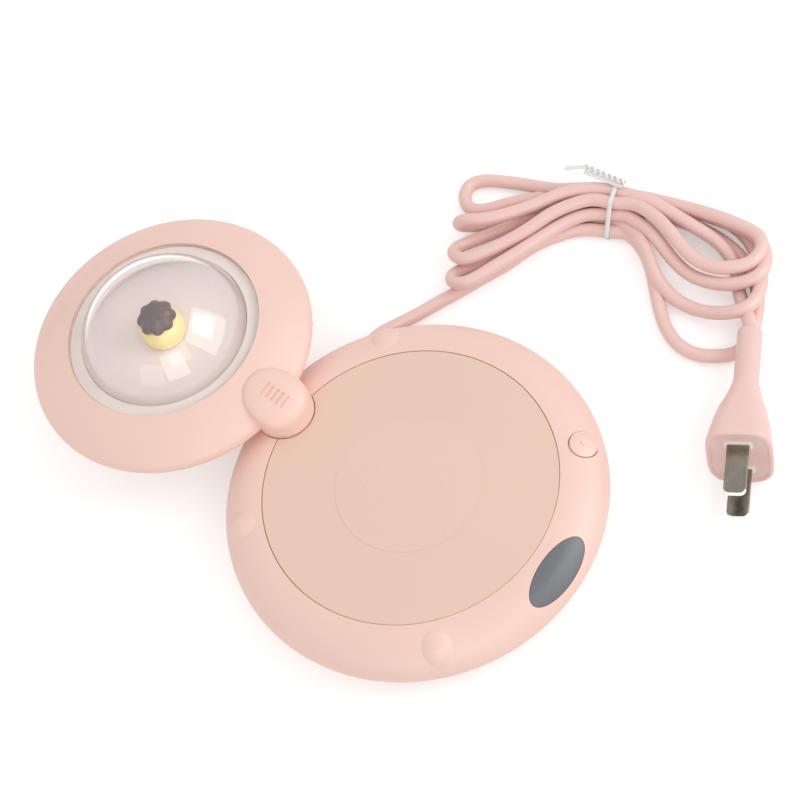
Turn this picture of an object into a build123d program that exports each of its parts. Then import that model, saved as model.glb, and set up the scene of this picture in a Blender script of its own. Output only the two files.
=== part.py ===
"""Electric mug warmer: a saucer-shaped heated base with a lid that swivels on a pivot at its back.

The lid carries a night light under a clear dome. It is stored swung fully open, and turns half a turn
about the pivot until it covers the heating plate. The mains cord is folded into a tied hank.

Frame: the origin is the centre of the base on the standing surface, +Z is up and +Y points from the base's
centre to the swivel pivot. All lengths are millimetres and all angles degrees.
"""
from build123d import *
import os
from math import asin, atan2, cos, degrees, pi, radians, sin, sqrt, tan

os.makedirs("parts", exist_ok=True)

# ------------------------------------------------------------------ driving dimensions
# base housing
plate_radius = 44.0
plate_thickness = 2.0
plate_top = 19.0
plate_edge = 0.2            # bevel round the plate's top
seam = 0.18                 # gap between the plate and the housing round it
rim_width = 13.15           # from the seam to the base's widest circle
widest_height = 10.2        # height at which the base is widest
underside_round = 15.4      # how far the underside curves in from the widest circle
wall = 2.0
pad_margin = 4.0            # flat underside left round the pad
pad_thickness = 1.4
pad_recess = 0.5
split_drop = 3.6            # from the widest circle down to the parting line
tongue = 1.0                # thickness of the tray's locating tongue
tongue_rise = 1.6
tongue_foot = 1.4           # how far below the parting line the tongue is joined
ledge_width = 3.2
ledge_thickness = 1.8
pedestal_depth = 2.4        # how far the pivot pedestal reaches below the ledge
bond = 0.5                  # how far a boss or post reaches into the wall that carries it
spare = 1.0                 # how far a cut runs past the face that it opens
fit_gap = 0.15              # clearance between pieces that are fixed together
running_gap = 0.3           # clearance between pieces that move past each other

# screws
screw_inset = 1.5           # screw circle inside the plate's edge
screw_angles = (30, 150, 210, 330)
screw_radius = 1.2
screw_head_radius = 2.1
screw_head_height = 1.6
screw_head_sink = 0.3       # how deep the head sits in the tray
screw_depth = 6.0           # thread above the parting line
pilot_depth = 7.0
boss_radius = 3.0
thread_gap = 0.05           # clearance round a thread in its pilot hole
hole_gap = 0.3              # clearance round a shank or head in its hole
small_screw_radius = 0.85   # screws of the heater clamp, the boards and the lid
small_head_radius = 1.7
small_head_height = 1.2
board_screw_depth = 3.0

# heater stack
film_radius = 21.9
film_thickness = 0.12
mat_margin = 7.5            # mat's edge inside the plate's edge
mat_thickness = 1.1
felt_thickness = 3.0
clamp_thickness = 0.8
clamp_screw_angles = (60, 180, 300)
clamp_margin = 0.6          # the clamp's edge inside the plate's seat
clamp_room = 0.8            # gap between the mat's edge and the clamp's step
heater_gap = 0.4            # clearance round what passes through the felt and the clamp
sensor_radius = 2.0
sensor_round = 0.6
fuse_radius = 1.4
fuse_body = 8.0
fuse_wire = 0.4
fuse_length = 11.0          # over both leads
fuse_offset = 14.0

# display window, studs and button, all on the sloping rim
feature_share = 0.567       # how far across the rim the studs and the button lie
window_angle = -90
window_half_length = 11.8
window_half_height = 5.0
window_share = 0.5855       # how far across the rim the window's middle lies
window_sag = 1.13           # the window's edges lie this far below its middle
window_lean = 4.1           # extra lean of the window over the rim's own
lens_thickness = 1.2
lens_lip = 0.9
window_reach = 8.0          # half the length of the cut for the window
stud_angles = (45, 135, 225)
stud_ball = 7.5
stud_rise = 1.3
button_angle = -45
button_radius = 4.2
button_gap = 0.25
button_dome = 0.9
button_dot_radius = 1.1
button_dot_rise = 0.2
button_travel = 0.6
button_rim = 0.2            # straight part of the button above the rim
button_flange = 0.9         # how far the button's retaining flange reaches past its hole
button_flange_height = 0.9
button_seat_gap = 0.1       # between the flange and its stop when the button is up
guide_depth = 3.2
guide_wall = 1.95
leg_radius = 1.2
stem_radius = 1.5
stem_length = 1.0
plunger_radius = 1.2
plunger_rise = 1.0
plunger_depth = 0.8         # part of the plunger inside the switch
plunger_gap = 0.1
plunger_floor = 0.2         # room under the pressed plunger
switch_width = 6.0
switch_height = 2.8

# swivel pivot
pivot_offset = 3.0          # pivot's axis outside the plate's edge
pivot_radius = 9.0
pivot_sink = 1.0            # the pedestal's top lies this far below the plate's
shaft_radius = 4.0
shaft_bore = 2.4
bush_wall = 1.45
shaft_clearance = 0.05
washer_thickness = 1.0
washer_inset = 0.8          # the washer's recess inside the pedestal's edge
washer_bore_gap = 0.6
washer_stand = 0.3          # how far the washer stands above the pedestal
bearing_depth = 9.6         # from the plate's top down to the pedestal's lower end
ring_thickness = 0.6
ring_reach = 1.6            # the retaining ring's edge outside the shaft
ring_opening = 3.0
groove_depth = 0.6

# lid
lid_radius = 44.7
lid_offset = 0.1            # the pivot's axis lies this far outside the lid's edge
lid_clearance = 1.2         # gap over the plate
brim_height = 2.2           # from the lid's underside to its widest circle
brim_round = 3.2
brim_turn = 52
slope_width = 14.3          # from the lid's edge to its opening
lid_height = 11.3
cover_thickness = 1.2
cover_margin = 3.9
cover_ledge = 1.6           # width of the ledge that the cover rests on
dome_margin = 4.0           # from the opening's edge to the dome's foot
dome_rise = 18.6
dome_wall = 1.3
flange_thickness = 1.4
flange_sink = 0.6           # how far the dome's flange lies below the opening's edge
flange_gap = 0.25
seat_thickness = 1.4
seat_width = 2.8
platform_thickness = 1.5
board_thickness = 1.2
lamp_board_rise = 2.0       # from the cover to the lamp board
lamp_board_margin = 6.4     # from the opening's edge to the lamp board's
lamp_post_inset = 4.0       # the posts' circle inside the lamp board's edge
lamp_post_angles = (30, 150, 270)
led_count = 8
led_inset = 10.0
led_size = 3.5
led_height = 1.4
lid_screw_inset = 9.2
lid_screw_angles = (0, 60, 120, 180, 240, 300)
lid_boss_radius = 2.6
lid_head_radius = 1.9
lid_head_height = 0.6
lid_head_sink = 0.1
lid_screw_depth = 3.5
lid_pilot_depth = 4.0

# pivot knob
knob_height = 9.6           # above the plate
knob_far = 14.2             # reach of the knob past the pivot, towards the lid
knob_draft = 3
knob_round = 3.4
knob_roof = 4.4             # solid left over the shaft
shaft_fit = 0.02            # clearance of the shaft in the knob
grip_count = 5
grip_pitch = 1.7
grip_length = 4.4
grip_width = 0.7
grip_depth = 0.45
grip_offset = 1.1           # from the pivot towards the lid
lead_radius = 1.0           # lamp's lead
lead_room = 1.8             # radius of its channel
channel_reach = 6.0         # how far the channel runs past the knob
lead_start = 0.5            # the lead's end inside the shaft's lower end
lead_end_gap = 0.05         # between the lead's other end and the lamp board

# night-light ornament
ornament_radius = 5.2
ornament_height = 8.0
ornament_waist = 0.86       # the stem's radius at its top, as a share of the radius at its foot
ornament_belly = 1.02       # and where it is widest
ornament_belly_height = 0.4
cap_radius = 6.4
scallop_count = 8
scallop_radius = 2.0
scallop_inset = 0.6         # the scallops' circle inside the cap's edge
scallop_lift = 1.6

# control electronics
board_length = 44.0
board_width = 24.0
board_lift = 2.1            # from the tray's floor to the board
board_centre = -25.0
# parts on the main board: length and width as shares of the board's, height, place as shares from its middle
board_layout = [(0.32, 0.42, 4.6, -0.2, 0.08), (0.25, 0.2, 4.4, 0.14, 0.2),
                (0.16, 0.29, 1.2, 0.12, -0.2), (0.11, 0.2, 2.4, 0.34, -0.04),
                (0.18, 0.16, 4.0, -0.16, -0.33), (0.07, 0.25, 2.0, -0.03, -0.28)]
post_radius = 2.2
post_inset = 3.0            # the posts' middle inside the board's edges
small_board_margin = 1.0    # the display's and the switch's boards past what they carry
display_length = 18.0
display_width = 6.4
display_depth = 3.0
display_gap = 2.2           # from the window's chord plane to the display's face
display_peg_radius = 0.8
display_peg_gap = 1.2       # between the display's end and its pegs' middle
display_peg_drop = 0.75     # how far the pegs lie from the window's middle to its lower lip, as a share
display_peg_rise = 2.0

# cord, strain relief, hank and plug
cord_radius = 2.1
cord_lift = 0.1             # the cord's own height above the standing surface
arc_share = 0.45            # part of the shorter run that a corner's arc takes up
relief_length = 26.0
relief_radius = 2.9
relief_flange = 3.5
relief_flange_thickness = 1.2
relief_flange_gap = 0.2     # room before and behind the flange
relief_taper = 0.4          # tapered share of the sleeve
relief_tip = 0.25           # the tapered end is this much thicker than the cord, all round
relief_bore_spare = 4.0
relief_start = 8.0
relief_inset = 11.9         # the relief's axis inside the base's widest circle
relief_drop = 3.8           # and below it
# the lead's route from the relief's end: along X, along Y, and share of the relief's height left
lead_route = [(0, 0, 1), (5, 0, 1), (10.5, -1.6, 0.62), (18, -4.6, 0.14), (25.5, -8.1, 0),
              (32.5, -11.8, 0.02)]
# outline of the hank, from the end of the lead
hank_route = [(-0.3, -3.5), (0.3, 3.9), (9.5, 11.1), (22, 18.8), (32, 22.9), (42.1, 19.8), (47.1, 4.3),
              (53.1, -11.7), (58.9, -29.7), (63.1, -45.7), (64.1, -59.7), (61.1, -73.2), (53.1, -81.1),
              (43, -85.3), (32, -90.1), (21.9, -87.3), (15.7, -78.2), (16.9, -67.2), (26, -56.7), (36, -46.2),
              (39.9, -33.7), (35.9, -22.2), (24.5, -12.1), (11, -7.5)]
hank_floor = 0.2
hank_height = 11.2
plug_neck = (29.5, -88.2, 8.6)      # from the end of the lead, with the height above the standing surface
plug_face = (-9.8, -109.4)
neck_radius = 3.7
neck_share = 0.4            # share of the plug's length that is a straight neck
neck_round = 1.5
plug_width = 19.0
plug_height = 26.0
plug_corner = 6.5
plug_edge = 0.5             # the face is this much smaller all round than the section behind it
# how the plug swells from its neck: distance behind the face as a share of the length, and share of growth
plug_swell = [(0.51, 0.14), (0.41, 0.34), (0.32, 0.57), (0.22, 0.75), (0.11, 0.9), (0.02, 1)]
plug_room = 0.6             # gap between the hank and the plug
plug_corner_limit = 0.495   # a section's corner never passes this share of its width
blade_width = 6.3
blade_thickness = 1.5
blade_length = 16.0
blade_spacing = 12.7
blade_bevel = 0.4           # bevel across the blade's tip
blade_tip_round = 1.8       # corners of the tip
tail_length = 5.5
pocket_length = 20.0        # how far the cord's ends reach into the hank's outer shape
pocket_gap = 0.1
tie_place = (47.9, -27.2)
tie_turn = 15.5             # heading of the tie's plane from +X
tie_half_width = 10.0
tie_width = 1.2
tie_thickness = 0.8
tie_rise = 1.2              # how far the tie stands above the hank
tie_corner = 4.0
tie_tail_length = 19.0
tie_tail_radius = 0.9
tie_tail_way = (-0.22, 0.975, 0.05)

# ------------------------------------------------------------------ values that follow from them
rim_start = plate_radius + seam
base_radius = rim_start + rim_width
floor_radius = base_radius - underside_round
pad_radius = floor_radius - pad_margin
split_height = widest_height - split_drop
screw_circle = plate_radius - screw_inset
mat_radius = plate_radius - mat_margin
seat_height = plate_top - plate_thickness
ledge_inner = rim_start - ledge_width
ledge_bottom = seat_height - ledge_thickness
tray_floor = pad_thickness - pad_recess
inside_floor = tray_floor + wall
mat_bottom = seat_height - mat_thickness
felt_bottom = mat_bottom - felt_thickness
clamp_bottom = felt_bottom - clamp_thickness
clamp_edge = rim_start - clamp_margin
clamp_circle = (ledge_inner + clamp_edge) / 2
feature_circle = rim_start + feature_share * rim_width
window_middle = rim_start + window_share * rim_width
guide_radius = button_radius + button_gap + guide_wall
flange_depth = guide_depth + button_seat_gap
stem_end = flange_depth + button_flange_height + stem_length
switch_top = stem_end + plunger_rise
switch_board_top = switch_top + switch_height
switch_leg = switch_width / 2 + 3 * leg_radius
display_leg = display_length / 2 + display_peg_gap
pivot_reach = plate_radius + pivot_offset
lid_reach = lid_radius + lid_offset
lid_y = pivot_reach + lid_reach
lid_underside = plate_top + lid_clearance
lid_edge_height = lid_underside + brim_height
opening_radius = lid_radius - slope_width
opening_height = lid_underside + lid_height
cover_radius = lid_radius - cover_margin
cover_top = lid_underside + cover_thickness
lid_screw_circle = lid_radius - lid_screw_inset
pedestal_top = plate_top - pivot_sink
washer_top = pedestal_top + washer_stand
bush_radius = shaft_radius + shaft_clearance + bush_wall
boss_bottom = plate_top - bearing_depth
knob_top = plate_top + knob_height
knob_bottom = washer_top + shaft_clearance
shaft_bottom = boss_bottom - 2 * ring_thickness
shaft_top = knob_top - knob_roof
dome_radius = opening_radius - dome_margin
flange_radius = opening_radius - flange_gap
flange_top = opening_height - flange_sink
flange_bottom = flange_top - flange_thickness
seat_radius = opening_radius - seat_width
seat_bottom = flange_bottom - seat_thickness
platform_radius = opening_radius - seat_width / 2
platform_bottom = seat_bottom - platform_thickness
lamp_board_height = cover_top + lamp_board_rise
lamp_board_radius = opening_radius - lamp_board_margin
led_circle = lamp_board_radius - led_inset
board_height = inside_floor + board_lift
relief_y = base_radius - relief_inset
relief_height = widest_height - relief_drop
cord_height = cord_radius + cord_lift
relief_end = relief_start + relief_length
lead_points = [(relief_end + x, relief_y + y, cord_height + share * (relief_height - cord_height))
               for x, y, share in lead_route]
lead_x, lead_y = lead_points[-1][:2]
tie_height = hank_height + tie_rise
standing = (Align.CENTER, Align.CENTER, Align.MIN)
hanging = (Align.CENTER, Align.CENTER, Align.MAX)


# ------------------------------------------------------------------ small helpers
def disc(radius, low, high, at=(0, 0)):
    """Upright cylinder between two heights."""
    return Pos(at[0], at[1], low) * Cylinder(radius, high - low, align=standing)


def ring(outer, inner, low, high, at=(0, 0)):
    """Upright ring between two heights."""
    return disc(outer, low, high, at) - disc(inner, low - spare, high + spare, at)


def block(length, width, low, high, at=(0, 0)):
    """Upright box between two heights."""
    return Pos(at[0], at[1], low) * Box(length, width, high - low, align=standing)


def polar(radius, angle, centre=(0, 0)):
    """Point at a radius and angle from a centre."""
    return centre[0] + radius * cos(radians(angle)), centre[1] + radius * sin(radians(angle))


def turned(*edges):
    """Solid turned about Z from edges drawn as (radius, height)."""
    return revolve(Plane.XZ * make_face(list(edges)), Axis.Z)


def outward_plane(radius, height, angle, tilt):
    """Plane on the rim whose normal leans outwards by tilt, with x along the rim."""
    toward = (cos(radians(angle)), sin(radians(angle)))
    normal = (toward[0] * sin(radians(tilt)), toward[1] * sin(radians(tilt)), cos(radians(tilt)))
    return Plane(origin=(radius * toward[0], radius * toward[1], height), x_dir=(-toward[1], toward[0], 0),
                 z_dir=normal)


def rod(plane, radius, depth_from, depth_to, at=(0, 0)):
    """Cylinder along a plane's normal, between two depths below the plane."""
    length = depth_to - depth_from
    return plane * Pos(at[0], at[1], -depth_to) * Cylinder(radius, length, align=standing)


def rim_height(radius):
    """Height of the rim's outside surface above its widest circle."""
    share = (radius - rim_start) / (base_radius - rim_start)
    return widest_height + (plate_top - widest_height) * sqrt(1 - share ** 2)


def rim_tilt(radius):
    """Lean of the rim's normal at a radius."""
    reach = base_radius - rim_start
    rise = plate_top - widest_height
    share = (radius - rim_start) / reach
    return degrees(atan2(rise * share, reach * sqrt(1 - share ** 2)))


def inside_radius(height):
    """Inside radius of the housing below its widest circle."""
    share = (widest_height - height) / (widest_height - inside_floor)
    return floor_radius + (base_radius - wall - floor_radius) * sqrt(1 - share ** 2)


def saucer(inset):
    """Solid inside the base's outside surface, moved in by inset."""
    edge = base_radius - inset
    top = plate_top - inset
    low = tray_floor + inset
    under = EllipticalCenterArc((floor_radius, widest_height), edge - floor_radius, widest_height - low, 270,
                                arc_size=90)
    over = EllipticalCenterArc((rim_start, widest_height), edge - rim_start, top - widest_height, 0,
                               arc_size=90)
    flats = [Line((rim_start, top), (0, top)), Line((0, top), (0, low)), Line((0, low), (floor_radius, low))]
    return turned(under, over, *flats)


outside = saucer(0)
inside = saucer(wall)
pivot = (0, pivot_reach)
lid_centre = (0, lid_y)
button_plane = outward_plane(feature_circle, rim_height(feature_circle), button_angle,
                             rim_tilt(feature_circle))
window_plane = outward_plane(window_middle, rim_height(window_middle) - window_sag, window_angle,
                             rim_tilt(window_middle) + window_lean)


def window_prism(margin):
    """Oval prism through the rim along the window's normal."""
    oval = Ellipse(window_half_length + margin, window_half_height + margin)
    return window_plane * extrude(oval, window_reach, both=True)


# ------------------------------------------------------------------ base housing
def rim_shell():
    """Upper housing with the plate's seat, pivot pedestal, studs, window seat and button guide."""
    over = plate_top + spare
    shell = (outside - inside) & disc(base_radius + spare, split_height, over)
    shell -= disc(rim_start, seat_height, over)
    shell += ring(rim_start + wall, ledge_inner, ledge_bottom, seat_height)
    shell += disc(pivot_radius, ledge_bottom - pedestal_depth, pedestal_top, pivot)
    shell -= disc(pivot_radius + running_gap, pedestal_top, over, pivot)
    shell += disc(bush_radius + wall, boss_bottom, ledge_bottom, pivot)
    for angle in screw_angles:
        shell += disc(boss_radius, split_height, ledge_bottom + bond, polar(screw_circle, angle))
    for angle in stud_angles:
        height = rim_height(feature_circle)
        plane = outward_plane(feature_circle, height, angle, rim_tilt(feature_circle))
        ball = plane * Pos(0, 0, stud_rise - stud_ball) * Sphere(stud_ball)
        shell += ball - saucer(wall / 2)
    shell += rod(button_plane, guide_radius, -wall, guide_depth) & saucer(wall / 2)
    for side in (-1, 1):
        shell += rod(button_plane, leg_radius, guide_depth - bond, switch_board_top, (side * switch_leg, 0))
    shell -= rod(button_plane, button_radius + button_gap, -2 * wall, guide_depth + spare)
    flange_room = button_radius + button_flange + running_gap
    flange_low = flange_depth + button_flange_height + button_travel + running_gap
    shell -= rod(button_plane, flange_room, guide_depth, flange_low)
    for side in (-1, 1):
        spot = (side * display_leg, (lens_lip / 2 - window_half_height) * display_peg_drop)
        peg = rod(window_plane, display_peg_radius, -display_peg_rise, display_gap + display_depth, spot)
        shell += peg & saucer(lens_thickness + thread_gap)
    shell -= window_prism(-lens_lip)
    shell -= window_prism(fit_gap) - saucer(lens_thickness)
    shell -= disc(bush_radius, boss_bottom - spare, over, pivot)
    shell -= disc(pivot_radius - washer_inset, washer_top - washer_thickness, over, pivot)
    for angle in screw_angles:
        shell -= disc(screw_radius + thread_gap, split_height - spare, split_height + pilot_depth,
                      polar(screw_circle, angle))
    return shell - relief_bore()


def base_tray():
    """Lower housing with its locating tongue, screw posts, board posts and the recess for the pad."""
    under = tray_floor - spare
    tray = (outside - inside) & disc(base_radius + spare, under, split_height)
    lip = inside_radius(split_height) - fit_gap
    tray += ring(lip, lip - tongue, split_height - tongue_foot, split_height + tongue_rise)
    for angle in screw_angles:
        tray += disc(boss_radius, inside_floor - bond, split_height, polar(screw_circle, angle))
    for spot in board_posts():
        tray += disc(post_radius, inside_floor - bond, board_height, spot)
    head_top = tray_floor + screw_head_height + screw_head_sink
    for angle in screw_angles:
        spot = polar(screw_circle, angle)
        tray -= disc(screw_radius + hole_gap, under, split_height + spare, spot)
        tray -= disc(screw_head_radius + hole_gap, under, head_top, spot)
    for spot in board_posts():
        tray -= disc(small_screw_radius + thread_gap, inside_floor, board_height + spare, spot)
    tray -= disc(pad_radius + fit_gap, under, tray_floor + pad_recess)
    for angle in screw_angles:
        spot = polar(screw_circle, angle)
        tray -= disc(boss_radius + spare, split_height, split_height + 2 * tongue_rise, spot)
    return tray - relief_bore()


def anti_slip_pad():
    """Round rubber pad that the base stands on."""
    return disc(pad_radius, 0, pad_thickness)


def case_screws():
    """Screws that hold the tray to the rim shell."""
    screws = []
    for angle in screw_angles:
        spot = polar(screw_circle, angle)
        head_top = tray_floor + screw_head_height + screw_head_sink
        screws.append(disc(screw_head_radius, head_top - screw_head_height, head_top, spot)
                      + disc(screw_radius, head_top, split_height + screw_depth, spot))
    return screws


# ------------------------------------------------------------------ heater stack
def heating_plate():
    """Round plate the mug stands on, notched round the pivot pedestal."""
    plate = disc(plate_radius, seat_height, plate_top)
    plate = chamfer(plate.edges().group_by(Axis.Z)[-1], plate_edge)
    return plate - disc(pivot_radius + running_gap, seat_height - spare, plate_top + spare, pivot)


def plate_film():
    """Clear protective film on the middle of the plate."""
    return disc(film_radius, plate_top, plate_top + film_thickness)


def heater_mat():
    """Flat heating element under the plate."""
    return disc(mat_radius, mat_bottom, seat_height)


def insulation_felt():
    """Felt under the element, with a hole for the sensor and a channel for the fuse."""
    low, high = felt_bottom - spare, mat_bottom + spare
    felt = disc(mat_radius, felt_bottom, mat_bottom)
    felt -= disc(sensor_radius + heater_gap, low, high)
    channel_width = 2 * (fuse_radius + heater_gap)
    return felt - block(fuse_length + 2 * heater_gap, channel_width, low, high, (0, fuse_offset))


def heater_clamp():
    """Dished steel plate that presses the stack up, screwed to the ledge."""
    step = mat_radius + clamp_room
    foot = ledge_bottom - clamp_thickness
    dish = disc(step + clamp_thickness, clamp_bottom, felt_bottom)
    dish += ring(step + clamp_thickness, step, clamp_bottom, ledge_bottom)
    dish += ring(clamp_edge, step, foot, ledge_bottom)
    low, high = clamp_bottom - spare, ledge_bottom + spare
    dish -= disc(pivot_radius + heater_gap, low, high, pivot)
    for angle in screw_angles:
        dish -= disc(boss_radius + heater_gap, low, high, polar(screw_circle, angle))
    for angle in clamp_screw_angles:
        dish -= disc(small_screw_radius + thread_gap, low, high, polar(clamp_circle, angle))
    return dish - disc(sensor_radius + heater_gap, low, high)


def clamp_screws():
    """Short screws that hold the heater clamp to the ledge."""
    foot = ledge_bottom - clamp_thickness
    spots = [polar(clamp_circle, angle) for angle in clamp_screw_angles]
    return [disc(small_head_radius, foot - small_head_height, foot, spot)
            + disc(small_screw_radius, foot, ledge_bottom, spot) for spot in spots]


def temperature_sensor():
    """Sensor bead held against the element."""
    bead = disc(sensor_radius, felt_bottom - clamp_thickness, mat_bottom)
    return fillet(bead.edges().group_by(Axis.Z)[-1], sensor_round)


def thermal_fuse():
    """One-shot fuse in the felt's channel, with a lead at each end."""
    along = Pos(0, fuse_offset, mat_bottom - fuse_radius) * Rot(0, 90, 0)
    return along * Cylinder(fuse_radius, fuse_body) + along * Cylinder(fuse_wire, fuse_length)


# ------------------------------------------------------------------ control electronics
def board_posts():
    """Posts of the control board."""
    reach_x = board_length / 2 - post_inset
    reach_y = board_width / 2 - post_inset
    return [(x, board_centre + y) for x in (-reach_x, reach_x) for y in (-reach_y, reach_y)]


def control_board():
    """Main circuit board."""
    top = board_height + board_thickness
    board = block(board_length, board_width, board_height, top, (0, board_centre))
    for spot in board_posts():
        board -= disc(small_screw_radius + hole_gap, board_height - spare, top + spare, spot)
    return board


def board_parts():
    """Parts soldered to the main board: relay, capacitor, controller, bridge, sockets."""
    top = board_height + board_thickness
    made = []
    for long, wide, tall, x, y in board_layout:
        spot = (x * board_length, board_centre + y * board_width)
        made.append(block(long * board_length, wide * board_width, top, top + tall, spot))
    return made


def board_screws():
    """Screws of the main board."""
    top = board_height + board_thickness
    return [disc(small_head_radius, top, top + small_head_height, spot)
            + disc(small_screw_radius, top - board_screw_depth, top, spot) for spot in board_posts()]


def display_window():
    """Dark oval window that follows the rim's surface."""
    return window_prism(0) & (outside - saucer(lens_thickness))


def display_module():
    """Segment display behind the window."""
    body = Box(display_length, display_width, display_depth, align=hanging)
    return window_plane * Pos(0, 0, -display_gap) * body


def display_board():
    """Small board that carries the display."""
    length = 2 * (display_leg + display_peg_gap)
    body = Box(length, display_width + 2 * small_board_margin, board_thickness, align=hanging)
    return window_plane * Pos(0, 0, -display_gap - display_depth) * body


# ------------------------------------------------------------------ button
def button_cap():
    """Domed push button with a retaining flange and a stem."""
    ball = (button_radius ** 2 + button_dome ** 2) / (2 * button_dome)
    crown = button_rim + button_dome
    shank = rod(button_plane, button_radius, -button_rim, flange_depth)
    shank += rod(button_plane, button_radius, -crown, -button_rim) & (
        button_plane * Pos(0, 0, crown - ball) * Sphere(ball))
    shank += rod(button_plane, button_dot_radius, -crown - button_dot_rise, -button_rim)
    flange_end = flange_depth + button_flange_height
    shank += rod(button_plane, button_radius + button_flange, flange_depth, flange_end)
    return shank + rod(button_plane, stem_radius, flange_depth, stem_end)


def switch_plunger():
    """Plunger of the tact switch, which moves with the button."""
    return rod(button_plane, plunger_radius, stem_end, switch_top + plunger_depth)


def tact_switch():
    """Body of the tact switch, with the plunger's bore."""
    body = Box(switch_width, switch_width, switch_height, align=hanging)
    case = button_plane * Pos(0, 0, -switch_top) * body
    bore_end = switch_top + plunger_depth + button_travel + plunger_floor
    return case - rod(button_plane, plunger_radius + plunger_gap, switch_top - spare, bore_end)


def switch_board():
    """Small board under the tact switch, fixed to the two legs of the button's guide."""
    length = 2 * (switch_leg + leg_radius + running_gap)
    body = Box(length, switch_width + 2 * small_board_margin, board_thickness, align=hanging)
    return button_plane * Pos(0, 0, -switch_board_top) * body


# ------------------------------------------------------------------ swivel pivot
def pivot_bush():
    """Brass bush in the pedestal."""
    top = washer_top - washer_thickness
    return ring(bush_radius, shaft_radius + shaft_clearance, boss_bottom, top, pivot)


def thrust_washer():
    """Slippery washer that the knob turns on."""
    edge = pivot_radius - washer_inset - fit_gap
    return ring(edge, shaft_radius + washer_bore_gap, washer_top - washer_thickness, washer_top, pivot)


def pivot_shaft():
    """Hollow shaft fixed in the knob; the lamp's lead runs through it."""
    shaft = ring(shaft_radius, shaft_bore, shaft_bottom, shaft_top, pivot)
    high = boss_bottom - shaft_clearance
    shaft -= ring(shaft_radius + spare, shaft_radius - groove_depth, high - ring_thickness, high, pivot)
    return shaft - lead_channel(lead_room)


def retaining_ring():
    """Open ring that keeps the shaft in the pedestal."""
    high = boss_bottom - shaft_clearance
    low = high - ring_thickness
    clip = ring(shaft_radius + ring_reach, shaft_radius - groove_depth + shaft_clearance, low, high, pivot)
    mouth = (0, pivot_reach - 1.5 * shaft_radius)
    return clip - block(ring_opening, 2 * shaft_radius, low - spare, high + spare, mouth)


def lead_channel(radius):
    """Channel for the lamp's lead from the shaft into the lid."""
    height = cover_top + radius
    bore = Cylinder(radius, knob_far + channel_reach, align=standing)
    return Pos(0, pivot_reach, height) * Rot(-90, 0, 0) * bore


def knob_outline():
    """Egg-shaped plan of the knob: a half circle about the pivot and a half ellipse towards the lid."""
    near = CenterArc((0, pivot_reach), pivot_radius, 180, 180)
    far = EllipticalCenterArc((0, pivot_reach), pivot_radius, knob_far, 0, arc_size=180)
    return make_face([near, far])


def knob_form():
    """Outside of the knob, without its grips and bores."""
    upper = Pos(0, 0, lid_underside) * extrude(knob_outline(), knob_top - lid_underside, taper=knob_draft)
    upper = fillet(upper.edges().group_by(Axis.Z)[-1], knob_round)
    return upper + disc(pivot_radius, knob_bottom, lid_edge_height, pivot)


def pivot_knob():
    """Pebble-shaped hinge block of the lid, with finger grips on top."""
    knob = knob_form()
    knob -= disc(shaft_radius + shaft_fit, knob_bottom - spare, shaft_top, pivot)
    knob -= lead_channel(lead_room)
    for place in range(grip_count):
        y = pivot_reach + grip_offset + grip_pitch * (place - (grip_count - 1) / 2)
        knob -= Pos(0, y, knob_top - grip_depth) * extrude(SlotOverall(grip_length, grip_width), knob_round)
    return knob


# ------------------------------------------------------------------ lid
def lid_form(inset):
    """Solid inside the lid's outside surface, moved in by inset, about the lid's own centre."""
    hub = lid_radius - brim_round
    normal = (cos(radians(brim_turn)), sin(radians(brim_turn)))
    start = (hub + brim_round * normal[0], lid_edge_height + brim_round * normal[1])
    run = (opening_radius + fit_gap - start[0], opening_height - start[1])
    bend = -(run[0] ** 2 + run[1] ** 2) / (2 * (run[0] * normal[0] + run[1] * normal[1]))
    middle = (start[0] - bend * normal[0], start[1] - bend * normal[1])
    turn = degrees(atan2(opening_height - middle[1], opening_radius + fit_gap - middle[0])) - brim_turn
    low = lid_underside + inset
    under = EllipticalCenterArc((hub, lid_edge_height), brim_round - inset, lid_edge_height - low, 270,
                                arc_size=90)
    brim = CenterArc((hub, lid_edge_height), brim_round - inset, 0, brim_turn)
    slope = CenterArc(middle, bend - inset, brim_turn, turn)
    end = slope @ 1
    flats = [Line(end, (0, end.Y)), Line((0, end.Y), (0, low)), Line((0, low), (hub, low))]
    return Pos(0, lid_y, 0) * turned(under, brim, slope, *flats)


def lid_shell():
    """Flared lid housing with the dome's seat and the screw bosses."""
    shell = lid_form(0) - lid_form(wall)
    shell += ring(opening_radius + wall, seat_radius, seat_bottom, flange_bottom, lid_centre)
    for angle in lid_screw_angles:
        spot = polar(lid_screw_circle, angle, lid_centre)
        shell += disc(lid_boss_radius, cover_top, opening_height, spot) & lid_form(wall / 2)
    for angle in lid_screw_angles:
        spot = polar(lid_screw_circle, angle, lid_centre)
        shell -= disc(small_screw_radius + thread_gap, cover_top - spare, cover_top + lid_pilot_depth, spot)
    over = opening_height + lid_height
    shell -= disc(seat_radius, seat_bottom - spare, over, lid_centre)
    shell -= disc(opening_radius, flange_bottom, over, lid_centre)
    shell -= disc(cover_radius + fit_gap, lid_underside - spare, cover_top, lid_centre)
    shell -= disc(cover_radius - cover_ledge, lid_underside - spare, lid_underside + wall + bond, lid_centre)
    return shell - knob_form()


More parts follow.
